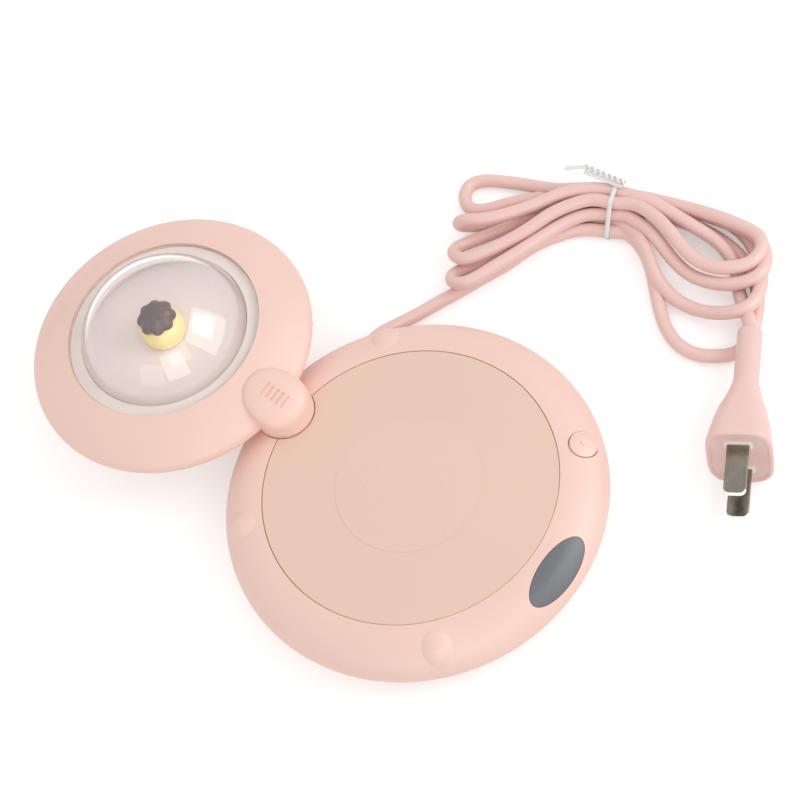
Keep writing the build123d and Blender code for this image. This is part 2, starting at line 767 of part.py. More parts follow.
def lid_cover():
    """Flat underside of the lid, with posts for the lamp board and the screw holes."""
    cover = disc(cover_radius, lid_underside, cover_top, lid_centre)
    for angle in lamp_post_angles:
        spot = polar(lamp_board_radius - lamp_post_inset, angle, lid_centre)
        cover += disc(post_radius, cover_top - bond, lamp_board_height, spot)
    for angle in lid_screw_angles:
        spot = polar(lid_screw_circle, angle, lid_centre)
        low = lid_underside - spare
        cover -= disc(small_screw_radius + hole_gap, low, cover_top + spare, spot)
        cover -= disc(lid_head_radius + fit_gap, low, lid_underside + lid_head_height + lid_head_sink, spot)
    return cover - knob_form()


def lid_screws():
    """Screws that hold the lid's cover."""
    screws = []
    for angle in lid_screw_angles:
        spot = polar(lid_screw_circle, angle, lid_centre)
        head_top = lid_underside + lid_head_height + lid_head_sink
        screws.append(disc(lid_head_radius, head_top - lid_head_height, head_top, spot)
                      + disc(small_screw_radius, head_top, cover_top + lid_screw_depth, spot))
    return screws


def lamp_dome():
    """Clear dome with its seating flange, turned as one piece."""
    ball = (dome_radius ** 2 + dome_rise ** 2) / (2 * dome_rise)
    centre = flange_top + dome_rise - ball
    inner = ball - dome_wall
    low_outer = degrees(asin((flange_top - centre) / ball))
    low_inner = degrees(asin((flange_bottom - centre) / inner))
    outer_arc = CenterArc((0, centre), ball, low_outer, 90 - low_outer)
    inner_arc = CenterArc((0, centre), inner, low_inner, 90 - low_inner)
    rim = flange_radius
    foot = (inner_arc @ 0).X
    edges = [outer_arc, inner_arc, Line((0, centre + inner), (0, centre + ball)),
             Line((foot, flange_bottom), (rim, flange_bottom)), Line((rim, flange_bottom), (rim, flange_top)),
             Line((rim, flange_top), ((outer_arc @ 0).X, flange_top))]
    return Pos(0, lid_y, 0) * turned(*edges)


def lamp_platform():
    """Milky disc under the dome that spreads the light."""
    return disc(platform_radius, platform_bottom, seat_bottom, lid_centre)


def led_board():
    """Round board with the night light's LEDs."""
    return disc(lamp_board_radius, lamp_board_height, lamp_board_height + board_thickness, lid_centre)


def leds():
    """LEDs in a circle on the lamp board."""
    top = lamp_board_height + board_thickness
    spots = [polar(led_circle, 360 * place / led_count, lid_centre) for place in range(led_count)]
    return [block(led_size, led_size, top, top + led_height, spot) for spot in spots]


def lamp_lead():
    """Lead from the shaft's lower end, through the channel, to the lamp board."""
    height = cover_top + lead_room
    end = lid_y - lamp_board_radius - lead_end_gap
    path = FilletPolyline((0, pivot_reach, shaft_bottom + lead_start), (0, pivot_reach, height),
                          (0, end, height), radius=[3 * lead_radius])
    return tube(path, lead_radius)


def tube(path, radius):
    """Round tube along a path of lines and arcs."""
    return sweep(Plane(origin=path @ 0, z_dir=path % 0) * Circle(radius), path)


# ------------------------------------------------------------------ ornament under the dome
def ornament_body():
    """Stem of the toadstool ornament."""
    low, high = seat_bottom, seat_bottom + ornament_height
    waist = ornament_radius * ornament_waist
    belly = (ornament_radius * ornament_belly, low + ornament_height * ornament_belly_height)
    edges = [ThreePointArc((ornament_radius, low), belly, (waist, high)), Line((waist, high), (0, high)),
             Line((0, high), (0, low)), Line((0, low), (ornament_radius, low))]
    return Pos(0, lid_y, 0) * turned(*edges)


def ornament_cap():
    """Scalloped cap of the toadstool ornament."""
    low = seat_bottom + ornament_height
    crown = Pos(0, lid_y, low) * (Sphere(cap_radius) & disc(cap_radius + spare, 0, cap_radius + spare))
    for place in range(scallop_count):
        x, y = polar(cap_radius - scallop_inset, 360 * place / scallop_count, lid_centre)
        crown += Pos(x, y, low + scallop_lift) * Sphere(scallop_radius)
    return crown & disc(cap_radius + 2 * scallop_radius, low, low + 2 * cap_radius, lid_centre)


# ------------------------------------------------------------------ mains cord and plug
def relief_plane():
    """Plane at the inner end of the strain relief, looking along the cord."""
    return Plane(origin=(relief_start, relief_y, relief_height), x_dir=(0, 1, 0), z_dir=(1, 0, 0))


def relief_bore():
    """Opening in the housing for the strain relief."""
    bore = Cylinder(relief_radius + fit_gap, relief_length + relief_bore_spare, align=standing)
    pocket_depth = relief_flange_thickness + 2 * relief_flange_gap
    pocket = Cylinder(relief_flange + fit_gap, pocket_depth, align=standing)
    return relief_plane() * (bore + Pos(0, 0, -relief_flange_gap) * pocket)


def strain_relief():
    """Soft tapered sleeve where the cord leaves the base, with a flange inside the wall."""
    taper_length = relief_length * relief_taper
    straight_length = relief_length - taper_length
    flange = Cylinder(relief_flange, relief_flange_thickness, align=standing)
    straight = Cylinder(relief_radius, straight_length, align=standing)
    taper = Cone(relief_radius, cord_radius + relief_tip, taper_length, align=standing)
    return relief_plane() * (flange + straight + Pos(0, 0, straight_length) * taper)


def corner_radii(points):
    """Radius of each corner of a route: a share of the shorter run over the tangent of half the turn."""
    radii = []
    for before, here, after in zip(points, points[1:], points[2:]):
        come = Vector(*here) - Vector(*before)
        go = Vector(*after) - Vector(*here)
        half_turn = radians(come.get_angle(go)) / 2
        radii.append(arc_share * min(come.length, go.length) / tan(half_turn))
    return radii


def cord_lead():
    """Cord from the strain relief to the hank."""
    radii = corner_radii(lead_points)
    print("cord_lead radii", [round(radius, 1) for radius in radii])
    path = FilletPolyline(*lead_points, radius=radii)
    lead = tube(path, cord_radius)
    share = lead.volume / (pi * cord_radius ** 2 * path.length)
    print("cord_lead length", round(path.length, 1), "volume share", round(share, 4))
    return lead


neck_point = Vector(lead_x + plug_neck[0], lead_y + plug_neck[1], plug_neck[2])
face_point = Vector(lead_x + plug_face[0], lead_y + plug_face[1], plug_height / 2 + cord_lift)
plug_length = (face_point - neck_point).length
plug_ahead = (face_point - neck_point).normalized()


def plug_plane():
    """Plane of the plug's front face, x sideways and y up, with the normal along the blades."""
    return Plane(origin=face_point, x_dir=Vector(0, 0, 1).cross(plug_ahead).normalized(), z_dir=plug_ahead)


def plug_section(share, growth, margin=0):
    """Rounded section of the plug: its place as a share of the length, and its share of the growth."""
    neck = 2 * neck_radius
    width = neck + growth * (plug_width - neck) + 2 * margin
    height = neck + growth * (plug_height - neck) + 2 * margin
    corner = neck_radius + growth * (plug_corner - neck_radius) + margin
    corner = min(corner, plug_corner_limit * min(width, height))
    return plug_plane() * Pos(0, 0, -share * plug_length) * RectangleRounded(width, height, corner)


def plug_form(margin=0):
    """Moulding of the plug: a straight neck, the swelling body and the eased edge of its face."""
    neck_plane = Plane(origin=neck_point - plug_ahead * margin, z_dir=plug_ahead)
    neck = Cylinder(neck_radius + margin, neck_share * plug_length + margin, align=standing)
    neck = fillet(neck.edges().group_by(Axis.Z)[0], neck_round)
    swell = [plug_section(1 - neck_share, 0, margin)]
    swell += [plug_section(share, growth, margin) for share, growth in plug_swell]
    face = loft([swell[-1], plug_section(0, 1, margin - plug_edge)])
    return neck_plane * neck + loft(swell) + face


def plug_body():
    """Moulded two-pin plug that flares from its neck to its face."""
    return plug_form()


def plug_pins():
    """Two flat blades, one above the other."""
    blade = Box(blade_width, blade_thickness, blade_length, align=standing)
    blade = chamfer(blade.edges().filter_by(Axis.X).group_by(Axis.Z)[-1], blade_bevel)
    outline = RectangleRounded(blade_width, 2 * blade_length, blade_tip_round)
    blade &= Rot(90, 0, 0) * extrude(outline, blade_thickness, both=True)
    return [plug_plane() * Pos(0, side * blade_spacing / 2, 0) * blade for side in (-1, 1)]


def cord_tail():
    """Short length of cord between the plug's neck and the hank."""
    plane = Plane(origin=neck_point, z_dir=plug_ahead * -1)
    return plane * Cylinder(cord_radius, tail_length, align=standing)


def end_pocket(point, toward):
    """Pocket in the hank that an end of the cord sits in."""
    plane = Plane(origin=point, z_dir=toward)
    return plane * Cylinder(cord_radius + pocket_gap, pocket_length, align=standing)


def cord_hank():
    """Outer shape of the folded cord, cut back round the tie, the plug and the cord's two ends."""
    outline = make_face(Spline(*[(lead_x + x, lead_y + y) for x, y in hank_route], periodic=True))
    hank = Pos(0, 0, hank_floor) * extrude(outline, hank_height)
    lead_end = Vector(*lead_points[-1])
    lead_way = (Vector(*lead_points[-2]) - lead_end).normalized()
    hank -= end_pocket(lead_end, lead_way)
    hank -= end_pocket(neck_point - plug_ahead * tail_length, plug_ahead)
    hank -= plug_form(plug_room)
    return hank - tie_loop(fit_gap)


def tie_plane():
    """Upright plane across the hank at the tie."""
    heading = (cos(radians(tie_turn)), sin(radians(tie_turn)), 0)
    across = (sin(radians(tie_turn)), -cos(radians(tie_turn)), 0)
    return Plane(origin=(lead_x + tie_place[0], lead_y + tie_place[1], 0), x_dir=heading, z_dir=across)


def tie_loop(margin):
    """Ribbon of the tie round the hank."""
    outer = RectangleRounded(2 * (tie_half_width + margin), tie_height + 2 * margin, tie_corner)
    inset = tie_thickness + margin
    hole = RectangleRounded(2 * (tie_half_width - inset), tie_height - 2 * inset, tie_corner - tie_thickness)
    face = Pos(0, hank_floor + tie_height / 2) * (outer - hole)
    return tie_plane() * Pos(0, 0, -tie_width / 2 - margin) * extrude(face, tie_width + 2 * margin)


def cord_tie():
    """Paper-thin wire tie round the hank, with its twisted end."""
    start = tie_plane().from_local_coords(Vector(tie_half_width - tie_corner, tie_height + fit_gap, 0))
    tail = Cylinder(tie_tail_radius, tie_tail_length, align=standing)
    return tie_loop(0) + Plane(origin=start, z_dir=tie_tail_way) * tail


# ------------------------------------------------------------------ write every node
def save(name, made):
    """Write one node: a single solid, or a group of separate solids."""
    solids = made if isinstance(made, list) else [made]
    group = Compound(children=[Part(solid.wrapped) for solid in solids])
    export_step(group, os.path.join("parts", name + ".step"))


makers = [rim_shell, base_tray, anti_slip_pad, case_screws,
          heating_plate, plate_film, heater_mat, insulation_felt, heater_clamp, clamp_screws,
          temperature_sensor, thermal_fuse, control_board, board_parts, board_screws,
          display_window, display_module, display_board,
          button_cap, switch_plunger, tact_switch, switch_board,
          pivot_bush, thrust_washer, pivot_shaft, retaining_ring, pivot_knob,
          lid_shell, lid_cover, lid_screws, lamp_dome, lamp_platform, led_board, leds, lamp_lead,
          ornament_body, ornament_cap,
          strain_relief, cord_lead, cord_tail, cord_hank, cord_tie, plug_body, plug_pins]
for maker in makers:
    save(maker.__name__, maker())
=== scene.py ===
# %% [markdown]
# # An electric mug warmer with a swivelling night-light lid
#
# The warmer is a round, saucer-shaped base with a flat heating plate on top. A second, smaller saucer
# swivels on a pivot at its back. It is the lid, and it carries a night light under a clear dome. The mains
# cord comes out at the back and is folded into a hank, held by a white wire tie.
#
# Most hard pieces come in ready modelled, so much of this notebook is about what makes them look real: the
# light and the finishes. It also builds what needs a finer or a softer shape than a solid has: the cord,
# its plug and its wire tie, the pivot's knob, the clear dome with its gasket, and the small ornament.

from math import asin, cos, degrees, pi, radians, sin, tau

import bmesh
import bpy
from mathutils import Matrix, Vector


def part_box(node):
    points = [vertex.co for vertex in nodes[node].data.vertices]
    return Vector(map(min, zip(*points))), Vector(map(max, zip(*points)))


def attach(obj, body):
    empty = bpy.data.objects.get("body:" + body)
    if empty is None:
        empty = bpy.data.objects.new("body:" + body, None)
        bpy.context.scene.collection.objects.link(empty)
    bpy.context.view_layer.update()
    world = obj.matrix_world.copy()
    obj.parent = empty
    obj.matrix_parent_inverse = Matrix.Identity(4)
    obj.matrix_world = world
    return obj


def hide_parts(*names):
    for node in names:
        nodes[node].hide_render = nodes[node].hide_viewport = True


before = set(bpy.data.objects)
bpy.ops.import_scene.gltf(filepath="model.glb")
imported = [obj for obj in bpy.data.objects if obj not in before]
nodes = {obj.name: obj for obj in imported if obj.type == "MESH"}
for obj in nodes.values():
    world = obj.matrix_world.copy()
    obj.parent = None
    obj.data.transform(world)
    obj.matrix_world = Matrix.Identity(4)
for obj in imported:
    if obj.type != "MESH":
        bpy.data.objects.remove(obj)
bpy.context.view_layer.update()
MM = 0.001


def add_object(name, data):
    """A new object of the scene that shows some data."""
    made = bpy.data.objects.new(name, data)
    bpy.context.scene.collection.objects.link(made)
    return made


print("nodes:", len(nodes))

# %% [markdown]
# ## The camera
#
# The camera stands high over the near side and looks down at nearly sixty degrees. It is also rolled by
# about twenty-five degrees, so the lid lies up and to the left. Such a view is awkward to reach by aiming
# and turning. A camera is placed most safely by its own three axes: its X points to the right of the view,
# its Y up, and its Z back to the viewer.

# %% Camera
CAMERA_PLACE = Vector((-0.1439, -0.2430, 0.52425))
VIEW_RIGHT = Vector((0.5820, -0.7840, -0.2162)).normalized()
VIEW_UP = Vector((0.7643, 0.4363, 0.4750)).normalized()
LENS = 90
SENSOR_WIDTH = 36


def place_camera(lens):
    """A camera whose axes are the view's own."""
    data = bpy.data.cameras.new("camera")
    data.lens = lens
    data.sensor_width = SENSOR_WIDTH
    data.clip_start = 0.01
    data.clip_end = 10
    camera = add_object("camera", data)
    back = VIEW_RIGHT.cross(VIEW_UP).normalized()
    up = back.cross(VIEW_RIGHT)
    turn = Matrix((VIEW_RIGHT, up, back)).transposed().to_4x4()
    camera.matrix_world = Matrix.Translation(CAMERA_PLACE) @ turn
    bpy.context.scene.camera = camera
    return camera


camera = place_camera(LENS)
bpy.context.scene.view_settings.view_transform = "Standard"
print("camera at", tuple(round(v, 3) for v in camera.matrix_world.translation))

# %% [markdown]
# ## Adding shader nodes briefly
#
# A material is a small graph of nodes. Made by hand, each node takes four or five lines, and the idea
# drowns in them. One helper makes a node, sets its options, and fills its inputs with either a value or a
# link, so that a finish reads like a recipe. Colours are written as a paint chart gives them, from 0 to
# 255, and turned into the linear values that the renderer works in.

# %% Shader helpers


def fill_inputs(tree, made, inputs):
    """Give each named input of a node its value, or a link where the value is a socket."""
    for name, value in inputs.items():
        if isinstance(value, bpy.types.NodeSocket):
            tree.links.new(value, made.inputs[name])
        else:
            made.inputs[name].default_value = value


def add(tree, kind, inputs=None, **options):
    """One shader node, with its options set and its inputs filled."""
    made = tree.nodes.new("ShaderNode" + kind)
    for name, value in options.items():
        setattr(made, name, value)
    fill_inputs(tree, made, inputs or {})
    return made


def paint(red, green, blue):
    """A chart colour from 0 to 255 as a linear colour."""
    shares = [value / 255 for value in (red, green, blue)]
    linear = [share / 12.92 if share < 0.04045 else ((share + 0.055) / 1.055) ** 2.4 for share in shares]
    return (*linear, 1)


def start_group(name, inputs, outputs):
    """A node group that reads a place and some numbers, and its two end nodes."""
    group = bpy.data.node_groups.new(name, "ShaderNodeTree")
    group.interface.new_socket("Vector", in_out="INPUT", socket_type="NodeSocketVector")
    for label, value in inputs.items():
        socket = group.interface.new_socket(label, in_out="INPUT", socket_type="NodeSocketFloat")
        socket.default_value = value
    for label in outputs:
        group.interface.new_socket(label, in_out="OUTPUT", socket_type="NodeSocketFloat")
    return group, group.nodes.new("NodeGroupInput"), group.nodes.new("NodeGroupOutput")


def place_group(tree, group, inputs):
    """A copy of a group in a material, with its own values."""
    made = tree.nodes.new("ShaderNodeGroup")
    made.node_tree = group
    fill_inputs(tree, made, inputs)
    return made


print("a middle grey of the chart, in linear values:", round(paint(128, 128, 128)[0], 3))

# %% [markdown]
# ## Light and floor
#
# The object is lit on white, in a room full of soft light. A pale world gives the even fill. One panel at
# the right gives the shape, and a weaker one stands at the near side. The lamps stay at a level where a
# colour comes out about as it is written. The white behind the object is not made by more light: the world
# is plain white to the rays of the camera, of mirrors and of glass, and the floor glows a little for those
# same rays. A diffuse surface never sees that glow, and the floor still shows the object's shadow.
#
# The clear dome mirrors the studio's windows. They are wide, and if they also lit the object they would
# burn out its pale paint. So they are lamps that matt surfaces don't see, and that show only in what
# shines.

# %% World, lamps and floor
WHITE = (1, 1, 1, 1)
MIDDLE = (0.02, 0.02, 0.01)
DOME_MIDDLE = (0.0, 0.092, 0.02)
LAMP_DISTANCE = 1.0
FLOOR_SIZE = 3
FLOOR_DROP = 0.0002
PAPER = (0.86, 0.86, 0.86, 1)


def seen_straight(tree):
    """One for a ray from the camera, a mirror or glass, and zero for a ray from a matt surface."""
    rays = add(tree, "LightPath").outputs
    mirrored = add(tree, "Math", {0: rays["Is Camera Ray"], 1: rays["Is Glossy Ray"]}, operation="MAXIMUM")
    seen = add(tree, "Math", {0: mirrored.outputs[0], 1: rays["Is Transmission Ray"]}, operation="MAXIMUM")
    return seen.outputs[0]


def build_world(fill):
    """Soft fill for the object, and plain white wherever it is seen directly."""
    world = bpy.data.worlds.new("studio")
    bpy.context.scene.world = world
    world.use_nodes = True
    tree = world.node_tree
    tree.nodes.clear()
    soft = add(tree, "Background", {"Color": (1, 0.99, 0.98, 1), "Strength": fill})
    plain = add(tree, "Background", {"Color": WHITE, "Strength": 1})
    pick = add(tree, "MixShader", {0: seen_straight(tree), 1: soft.outputs[0], 2: plain.outputs[0]})
    add(tree, "OutputWorld", {"Surface": pick.outputs[0]})


def soft_box(name, way, size, power, middle=MIDDLE):
    """A rectangular lamp that stands off from a middle in one direction, and is turned back towards it."""
    data = bpy.data.lights.new(name, "AREA")
    data.shape = "RECTANGLE"
    data.size = size[0]
    data.size_y = size[1]
    data.energy = power
    lamp = add_object(name, data)
    aim = (-Vector(way)).to_track_quat("-Z", "Y")
    place = Vector(middle) + LAMP_DISTANCE * Vector(way).normalized()
    lamp.matrix_world = Matrix.Translation(place) @ aim.to_matrix().to_4x4()
    return lamp


def studio_window(name, way, size, power):
    """A wide pane that shows in reflections, and lights no matt surface."""
    pane = soft_box(name, way, size, power, middle=DOME_MIDDLE)
    pane.visible_diffuse = False
    return pane


def build_floor(glow):
    """A wide sheet of white paper that keeps the object's shadow."""
    shape = bmesh.new()
    bmesh.ops.create_grid(shape, x_segments=1, y_segments=1, size=FLOOR_SIZE)
    data = bpy.data.meshes.new("floor")
    shape.to_mesh(data)
    shape.free()
    floor = add_object("floor", data)
    floor.location = (0, 0, -FLOOR_DROP)
    paper = bpy.data.materials.new("floor_paper")
    paper.use_nodes = True
    tree = paper.node_tree
    surface = tree.nodes["Principled BSDF"]
    surface.inputs["Base Color"].default_value = PAPER
    surface.inputs["Roughness"].default_value = 0.9
    surface.inputs["Specular IOR Level"].default_value = 0.0
    surface.inputs["Emission Color"].default_value = WHITE
    strength = add(tree, "Math", {0: seen_straight(tree), 1: glow}, operation="MULTIPLY")
    tree.links.new(strength.outputs[0], surface.inputs["Emission Strength"])
    data.materials.append(paper)
    return floor


build_world(fill=0.81)
soft_box("right_panel", way=(0.5, -0.62, 0.6), size=(0.5, 0.5), power=2.0)
soft_box("near_panel", way=(-0.35, -0.65, 0.7), size=(0.5, 0.5), power=0.8)
studio_window("right_window", way=(0.464, -0.741, 0.485), size=(0.85, 0.85), power=3.8)
studio_window("near_window", way=(-0.527, -0.704, 0.476), size=(0.5, 0.6), power=1.6)
studio_window("left_window", way=(-0.88, -0.325, 0.35), size=(0.5, 0.5), power=0.5)
build_floor(glow=0.35)

# %% [markdown]
# ## Effects that several finishes share
#
# Moulded plastic is never a flat colour. The mould leaves a grain of a few tenths of a millimetre, the
# colour drifts a little over a few centimetres, and the gloss varies over some millimetres. Three noises of
# different size make one group, `moulded_grain`. Metal gets `tool_marks`, a fine noise for the marks and a
# coarse one for patches, which each metal may stretch along the tool's path. Felt gets `fibres`, which are
# two stretched noises laid across each other, and a circuit board gets `board_tracks`. All of them read
# Object coordinates, in metres, so the grain keeps its size on every piece.

# %% Shared effects


def build_moulded_grain():
    """Fine height, slow drift of the colour, and drift of the gloss."""
    group, start, end = start_group("moulded_grain", {"Grain": 2500, "Drift": 22},
                                    ["Height", "Tone", "Gloss"])
    place = start.outputs["Vector"]
    fine = add(group, "TexNoise", {"Vector": place, "Scale": start.outputs["Grain"], "Detail": 2.0,
                                   "Roughness": 0.55})
    slow = add(group, "TexNoise", {"Vector": place, "Scale": start.outputs["Drift"], "Detail": 1.5})
    middling = add(group, "Math", {0: start.outputs["Drift"], 1: 9.0}, operation="MULTIPLY")
    patchy = add(group, "TexNoise", {"Vector": place, "Scale": middling.outputs[0], "Detail": 3.0})
    for label, source in (("Height", fine), ("Tone", slow), ("Gloss", patchy)):
        group.links.new(source.outputs["Fac"], end.inputs[label])
    return group


def build_tool_marks():
    """Height of the marks that a tool leaves, and the patches in which they shine more or less."""
    group, start, end = start_group("tool_marks", {"Lines": 4000, "Patches": 300}, ["Height", "Gloss"])
    lines = add(group, "TexNoise", {"Vector": start.outputs["Vector"], "Scale": start.outputs["Lines"],
                                    "Detail": 3.0, "Roughness": 0.7})
    patches = add(group, "TexNoise", {"Vector": start.outputs["Vector"], "Scale": start.outputs["Patches"],
                                      "Detail": 4.0, "Roughness": 0.6})
    group.links.new(lines.outputs["Fac"], end.inputs["Height"])
    group.links.new(patches.outputs["Fac"], end.inputs["Gloss"])
    return group


def build_fibres():
    """Height and tone of threads that lie in every direction."""
    group, start, end = start_group("fibres", {"Threads": 1500}, ["Height", "Tone"])
    layers = []
    for turn in (0.6, 2.1):
        lay = add(group, "Mapping", {"Vector": start.outputs["Vector"], "Rotation": (0.3, 0.2, turn),
                                     "Scale": (1, 0.12, 1)})
        layers.append(add(group, "TexNoise", {"Vector": lay.outputs[0], "Scale": start.outputs["Threads"],
                                              "Detail": 3.0, "Distortion": 0.6}))
    lower, upper = [layer.outputs["Fac"] for layer in layers]
    both = add(group, "Math", {0: lower, 1: upper}, operation="MAXIMUM")
    group.links.new(both.outputs[0], end.inputs["Height"])
    group.links.new(upper, end.inputs["Tone"])
    return group


def build_tracks():
    """Masks of a circuit board: its copper tracks under the lacquer, and its bare pads."""
    group, start, end = start_group("board_tracks", {"Pitch": 260}, ["Tracks", "Pads"])
    runs = add(group, "TexBrick", {"Vector": start.outputs["Vector"], "Scale": start.outputs["Pitch"],
                                   "Mortar Size": 0.05, "Mortar Smooth": 0.1, "Brick Width": 1.7,
                                   "Row Height": 0.45}, offset=0.37)
    spots = add(group, "TexVoronoi", {"Vector": start.outputs["Vector"], "Scale": start.outputs["Pitch"],
                                      "Randomness": 0.35})
    small = add(group, "Math", {0: spots.outputs["Distance"], 1: 0.16}, operation="LESS_THAN")
    group.links.new(runs.outputs["Fac"], end.inputs["Tracks"])
    group.links.new(small.outputs[0], end.inputs["Pads"])
    return group


moulded_grain = build_moulded_grain()
tool_marks = build_tool_marks()
fibres = build_fibres()
board_tracks = build_tracks()
print("groups:", [group.name for group in bpy.data.node_groups])

# %% [markdown]
# ## Plastic, rubber and paint
#
# The housing is soft-touch plastic: pale pink, with a broad, weak highlight. The plate is a beige lacquer
# on metal, a shade yellower and a bit smoother, and the knob and the cord are moulded in slightly deeper
# pinks. The protective film lies so close on the plate that it takes the plate's colour, and only its gloss
# and its edge tell it is there. All of these differ in colour, roughness and size of grain, so one function
# makes them from `moulded_grain`. The tone moves between two close colours, the roughness between two close
# values, and the grain goes into a bump that is mostly a few hundredths of a millimetre high.

# %% Finish helpers
GLOSS_DRIFT = 0.04


def new_material(name):
    """An empty material with its shader and its Object coordinates."""
    made = bpy.data.materials.new(name)
    made.use_nodes = True
    tree = made.node_tree
    return made, tree, tree.nodes["Principled BSDF"], add(tree, "TexCoord").outputs["Object"]


def tinted(tree, share, dark, light):
    """Colour between two shades, as a share of the second."""
    return add(tree, "Mix", {"Factor": share, "A": dark, "B": light}, data_type="RGBA").outputs["Result"]


def shade(colour, factor):
    """The same colour, darker or lighter."""
    return tuple(min(1.0, channel * factor) for channel in colour[:3]) + (1,)


def ranged(tree, share, low, high):
    """A share from 0.3 to 0.7, which is where a noise mostly lies, spread from low to high."""
    return add(tree, "MapRange", {"Value": share, "From Min": 0.3, "From Max": 0.7, "To Min": low,
                                  "To Max": high}).outputs["Result"]


def drift_colour(tree, surface, share, colour, spread):
    """Let the base colour drift between a slightly darker and a slightly lighter shade."""
    tone = ranged(tree, share, 0.0, 1.0)
    drifting = tinted(tree, tone, shade(colour, 1 - spread), shade(colour, 1 + spread))
    tree.links.new(drifting, surface.inputs["Base Color"])


def emboss(tree, surface, height, strength, depth):
    """Feed a height to the surface as a bump of a depth in millimetres."""
    relief = add(tree, "Bump", {"Height": height, "Strength": strength, "Distance": depth * MM})
    tree.links.new(relief.outputs["Normal"], surface.inputs["Normal"])


def plastic(name, colour, roughness, grain=2500, drift=22, bump=0.02, spread=0.025, shine=0.5):
    """Moulded plastic, rubber or lacquer with a fine grain."""
    made, tree, surface, place = new_material(name)
    effect = place_group(tree, moulded_grain, {"Vector": place, "Grain": grain, "Drift": drift})
    drift_colour(tree, surface, effect.outputs["Tone"], colour, spread)
    rough = ranged(tree, effect.outputs["Gloss"], roughness - GLOSS_DRIFT, roughness + GLOSS_DRIFT)
    tree.links.new(rough, surface.inputs["Roughness"])
    emboss(tree, surface, effect.outputs["Height"], 0.6, bump)
    surface.inputs["Specular IOR Level"].default_value = shine
    return made


print("finish helpers:", [helper.__name__ for helper in (tinted, shade, ranged, drift_colour, emboss)])

# %% Plastic finishes
soft_pink = plastic("soft_pink", paint(245, 208, 196), 0.46)
knob_pink = plastic("knob_pink", paint(244, 206, 194), 0.44, grain=3000)
plate_lacquer = plastic("plate_lacquer", paint(237, 204, 187), 0.42, grain=5000, bump=0.01, spread=0.012,
                        shine=0.25)
film_gloss = plastic("film_gloss", paint(237, 205, 189), 0.3, grain=240, bump=0.004, spread=0.012,
                     shine=0.25)
flex_pink = plastic("flex_pink", paint(240, 203, 196), 0.42, grain=1800, drift=60, bump=0.02)
face_pink = plastic("face_pink", paint(240, 204, 198), 0.6, grain=1000, drift=90, bump=0.3, spread=0.05)
black_resin = plastic("black_resin", paint(38, 38, 40), 0.5, grain=4000, drift=120, bump=0.02, spread=0.15)
pad_rubber = plastic("pad_rubber", paint(158, 152, 150), 0.75, grain=1500, drift=60, bump=0.06, spread=0.05)
white_nylon = plastic("white_nylon", paint(238, 235, 228), 0.5, grain=2500, drift=90, bump=0.02)
lead_sleeve = plastic("lead_sleeve", paint(240, 238, 232), 0.4, grain=1500, drift=90)
amber_sheet = plastic("amber_sheet", paint(196, 132, 58), 0.3, grain=900, drift=120, bump=0.04, spread=0.12)
cap_mauve = plastic("cap_mauve", paint(98, 77, 77), 0.38, grain=1500, drift=180, bump=0.03, spread=0.12)
stem_cream = plastic("stem_cream", paint(246, 224, 156), 0.42, grain=1500, drift=150, bump=0.03, spread=0.04)
tie_paper = plastic("tie_paper", paint(234, 231, 232), 0.35, grain=1200, drift=200, bump=0.03, spread=0.03)
# The gasket's cream is paler than the seat under the dome, and paints the light that the glass keeps off it.
gasket_cream_painted_light = plastic("gasket_cream_painted_light", paint(255, 238, 228), 0.5, grain=1200, drift=120, bump=0.03)
milky_disc = plastic("milky_disc", paint(236, 218, 212), 0.35, grain=3000, drift=40, bump=0.01, spread=0.015)
milky_surface = milky_disc.node_tree.nodes["Principled BSDF"]
milky_surface.inputs["Subsurface Weight"].default_value = 0.15
milky_surface.inputs["Subsurface Scale"].default_value = 2 * MM
print("plastics:", len(bpy.data.materials))

# %% [markdown]
# ## Display window and clear dome
#
# The display window is a smoked plate. Its flat middle grey is partly the smoke and partly a painted
# reflection of the white room, laid into its colour. The dome is clear moulded acrylic: full transmission,
# no roughness, and the index of acrylic, 1.49. Real acrylic is never perfectly even, so a very weak slow
# bump bends its reflections a little. A renderer that traces light from the eye can't aim at a lamp through
# a bent pane, and what stands under it turns dark. The dome is therefore mostly open to shadow rays, and to
# nothing else, so that the lamps reach the disc and the ornament.

# %% Window and dome
ACRYLIC_INDEX = 1.49
SHADOW_RAYS_LET_IN = 0.85


def clear_acrylic():
    """Clear moulded acrylic."""
    made, tree, surface, place = new_material("clear_acrylic")
    surface.inputs["Base Color"].default_value = (0.985, 0.985, 0.99, 1)
    surface.inputs["Roughness"].default_value = 0.0
    surface.inputs["IOR"].default_value = ACRYLIC_INDEX
    surface.inputs["Transmission Weight"].default_value = 1.0
    effect = place_group(tree, moulded_grain, {"Vector": place, "Grain": 60, "Drift": 12})
    emboss(tree, surface, effect.outputs["Height"], 0.25, 0.02)
    rays = add(tree, "LightPath")
    cover = add(tree, "Math", {0: rays.outputs["Is Shadow Ray"], 1: -SHADOW_RAYS_LET_IN, 2: 1.0},
                operation="MULTIPLY_ADD")
    tree.links.new(cover.outputs[0], surface.inputs["Alpha"])
    return made


dome_clear = clear_acrylic()
# The window's middle grey is partly its smoke and partly a painted reflection of the white room.
window_smoke_and_painted_reflection = plastic("smoked_window", paint(112, 115, 120), 0.3, grain=300, drift=60, bump=0.001,
                      spread=0.02, shine=0.35)
print("window and dome:", window_smoke_and_painted_reflection.name, dome_clear.name)

# %% [markdown]
# ## Metal, felt and circuit boards
#
# The inner pieces show when the part is opened, so they get real finishes too. Screws and clamps are bright
# zinc, and the pivot's shaft is turned steel in a brass bush. The plug's blades are nickel with a fine
# peened texture, coloured far darker than nickel to paint the dim reflection along them, and their polished
# tips are a paler metal that paints the highlight on them. All of them are one recipe over `tool_marks`: the
# marks feed the bump, and their patches feed the roughness and a slight change of tone.

# %% Metals
DULLER = 0.07
BRIGHTER = 0.05


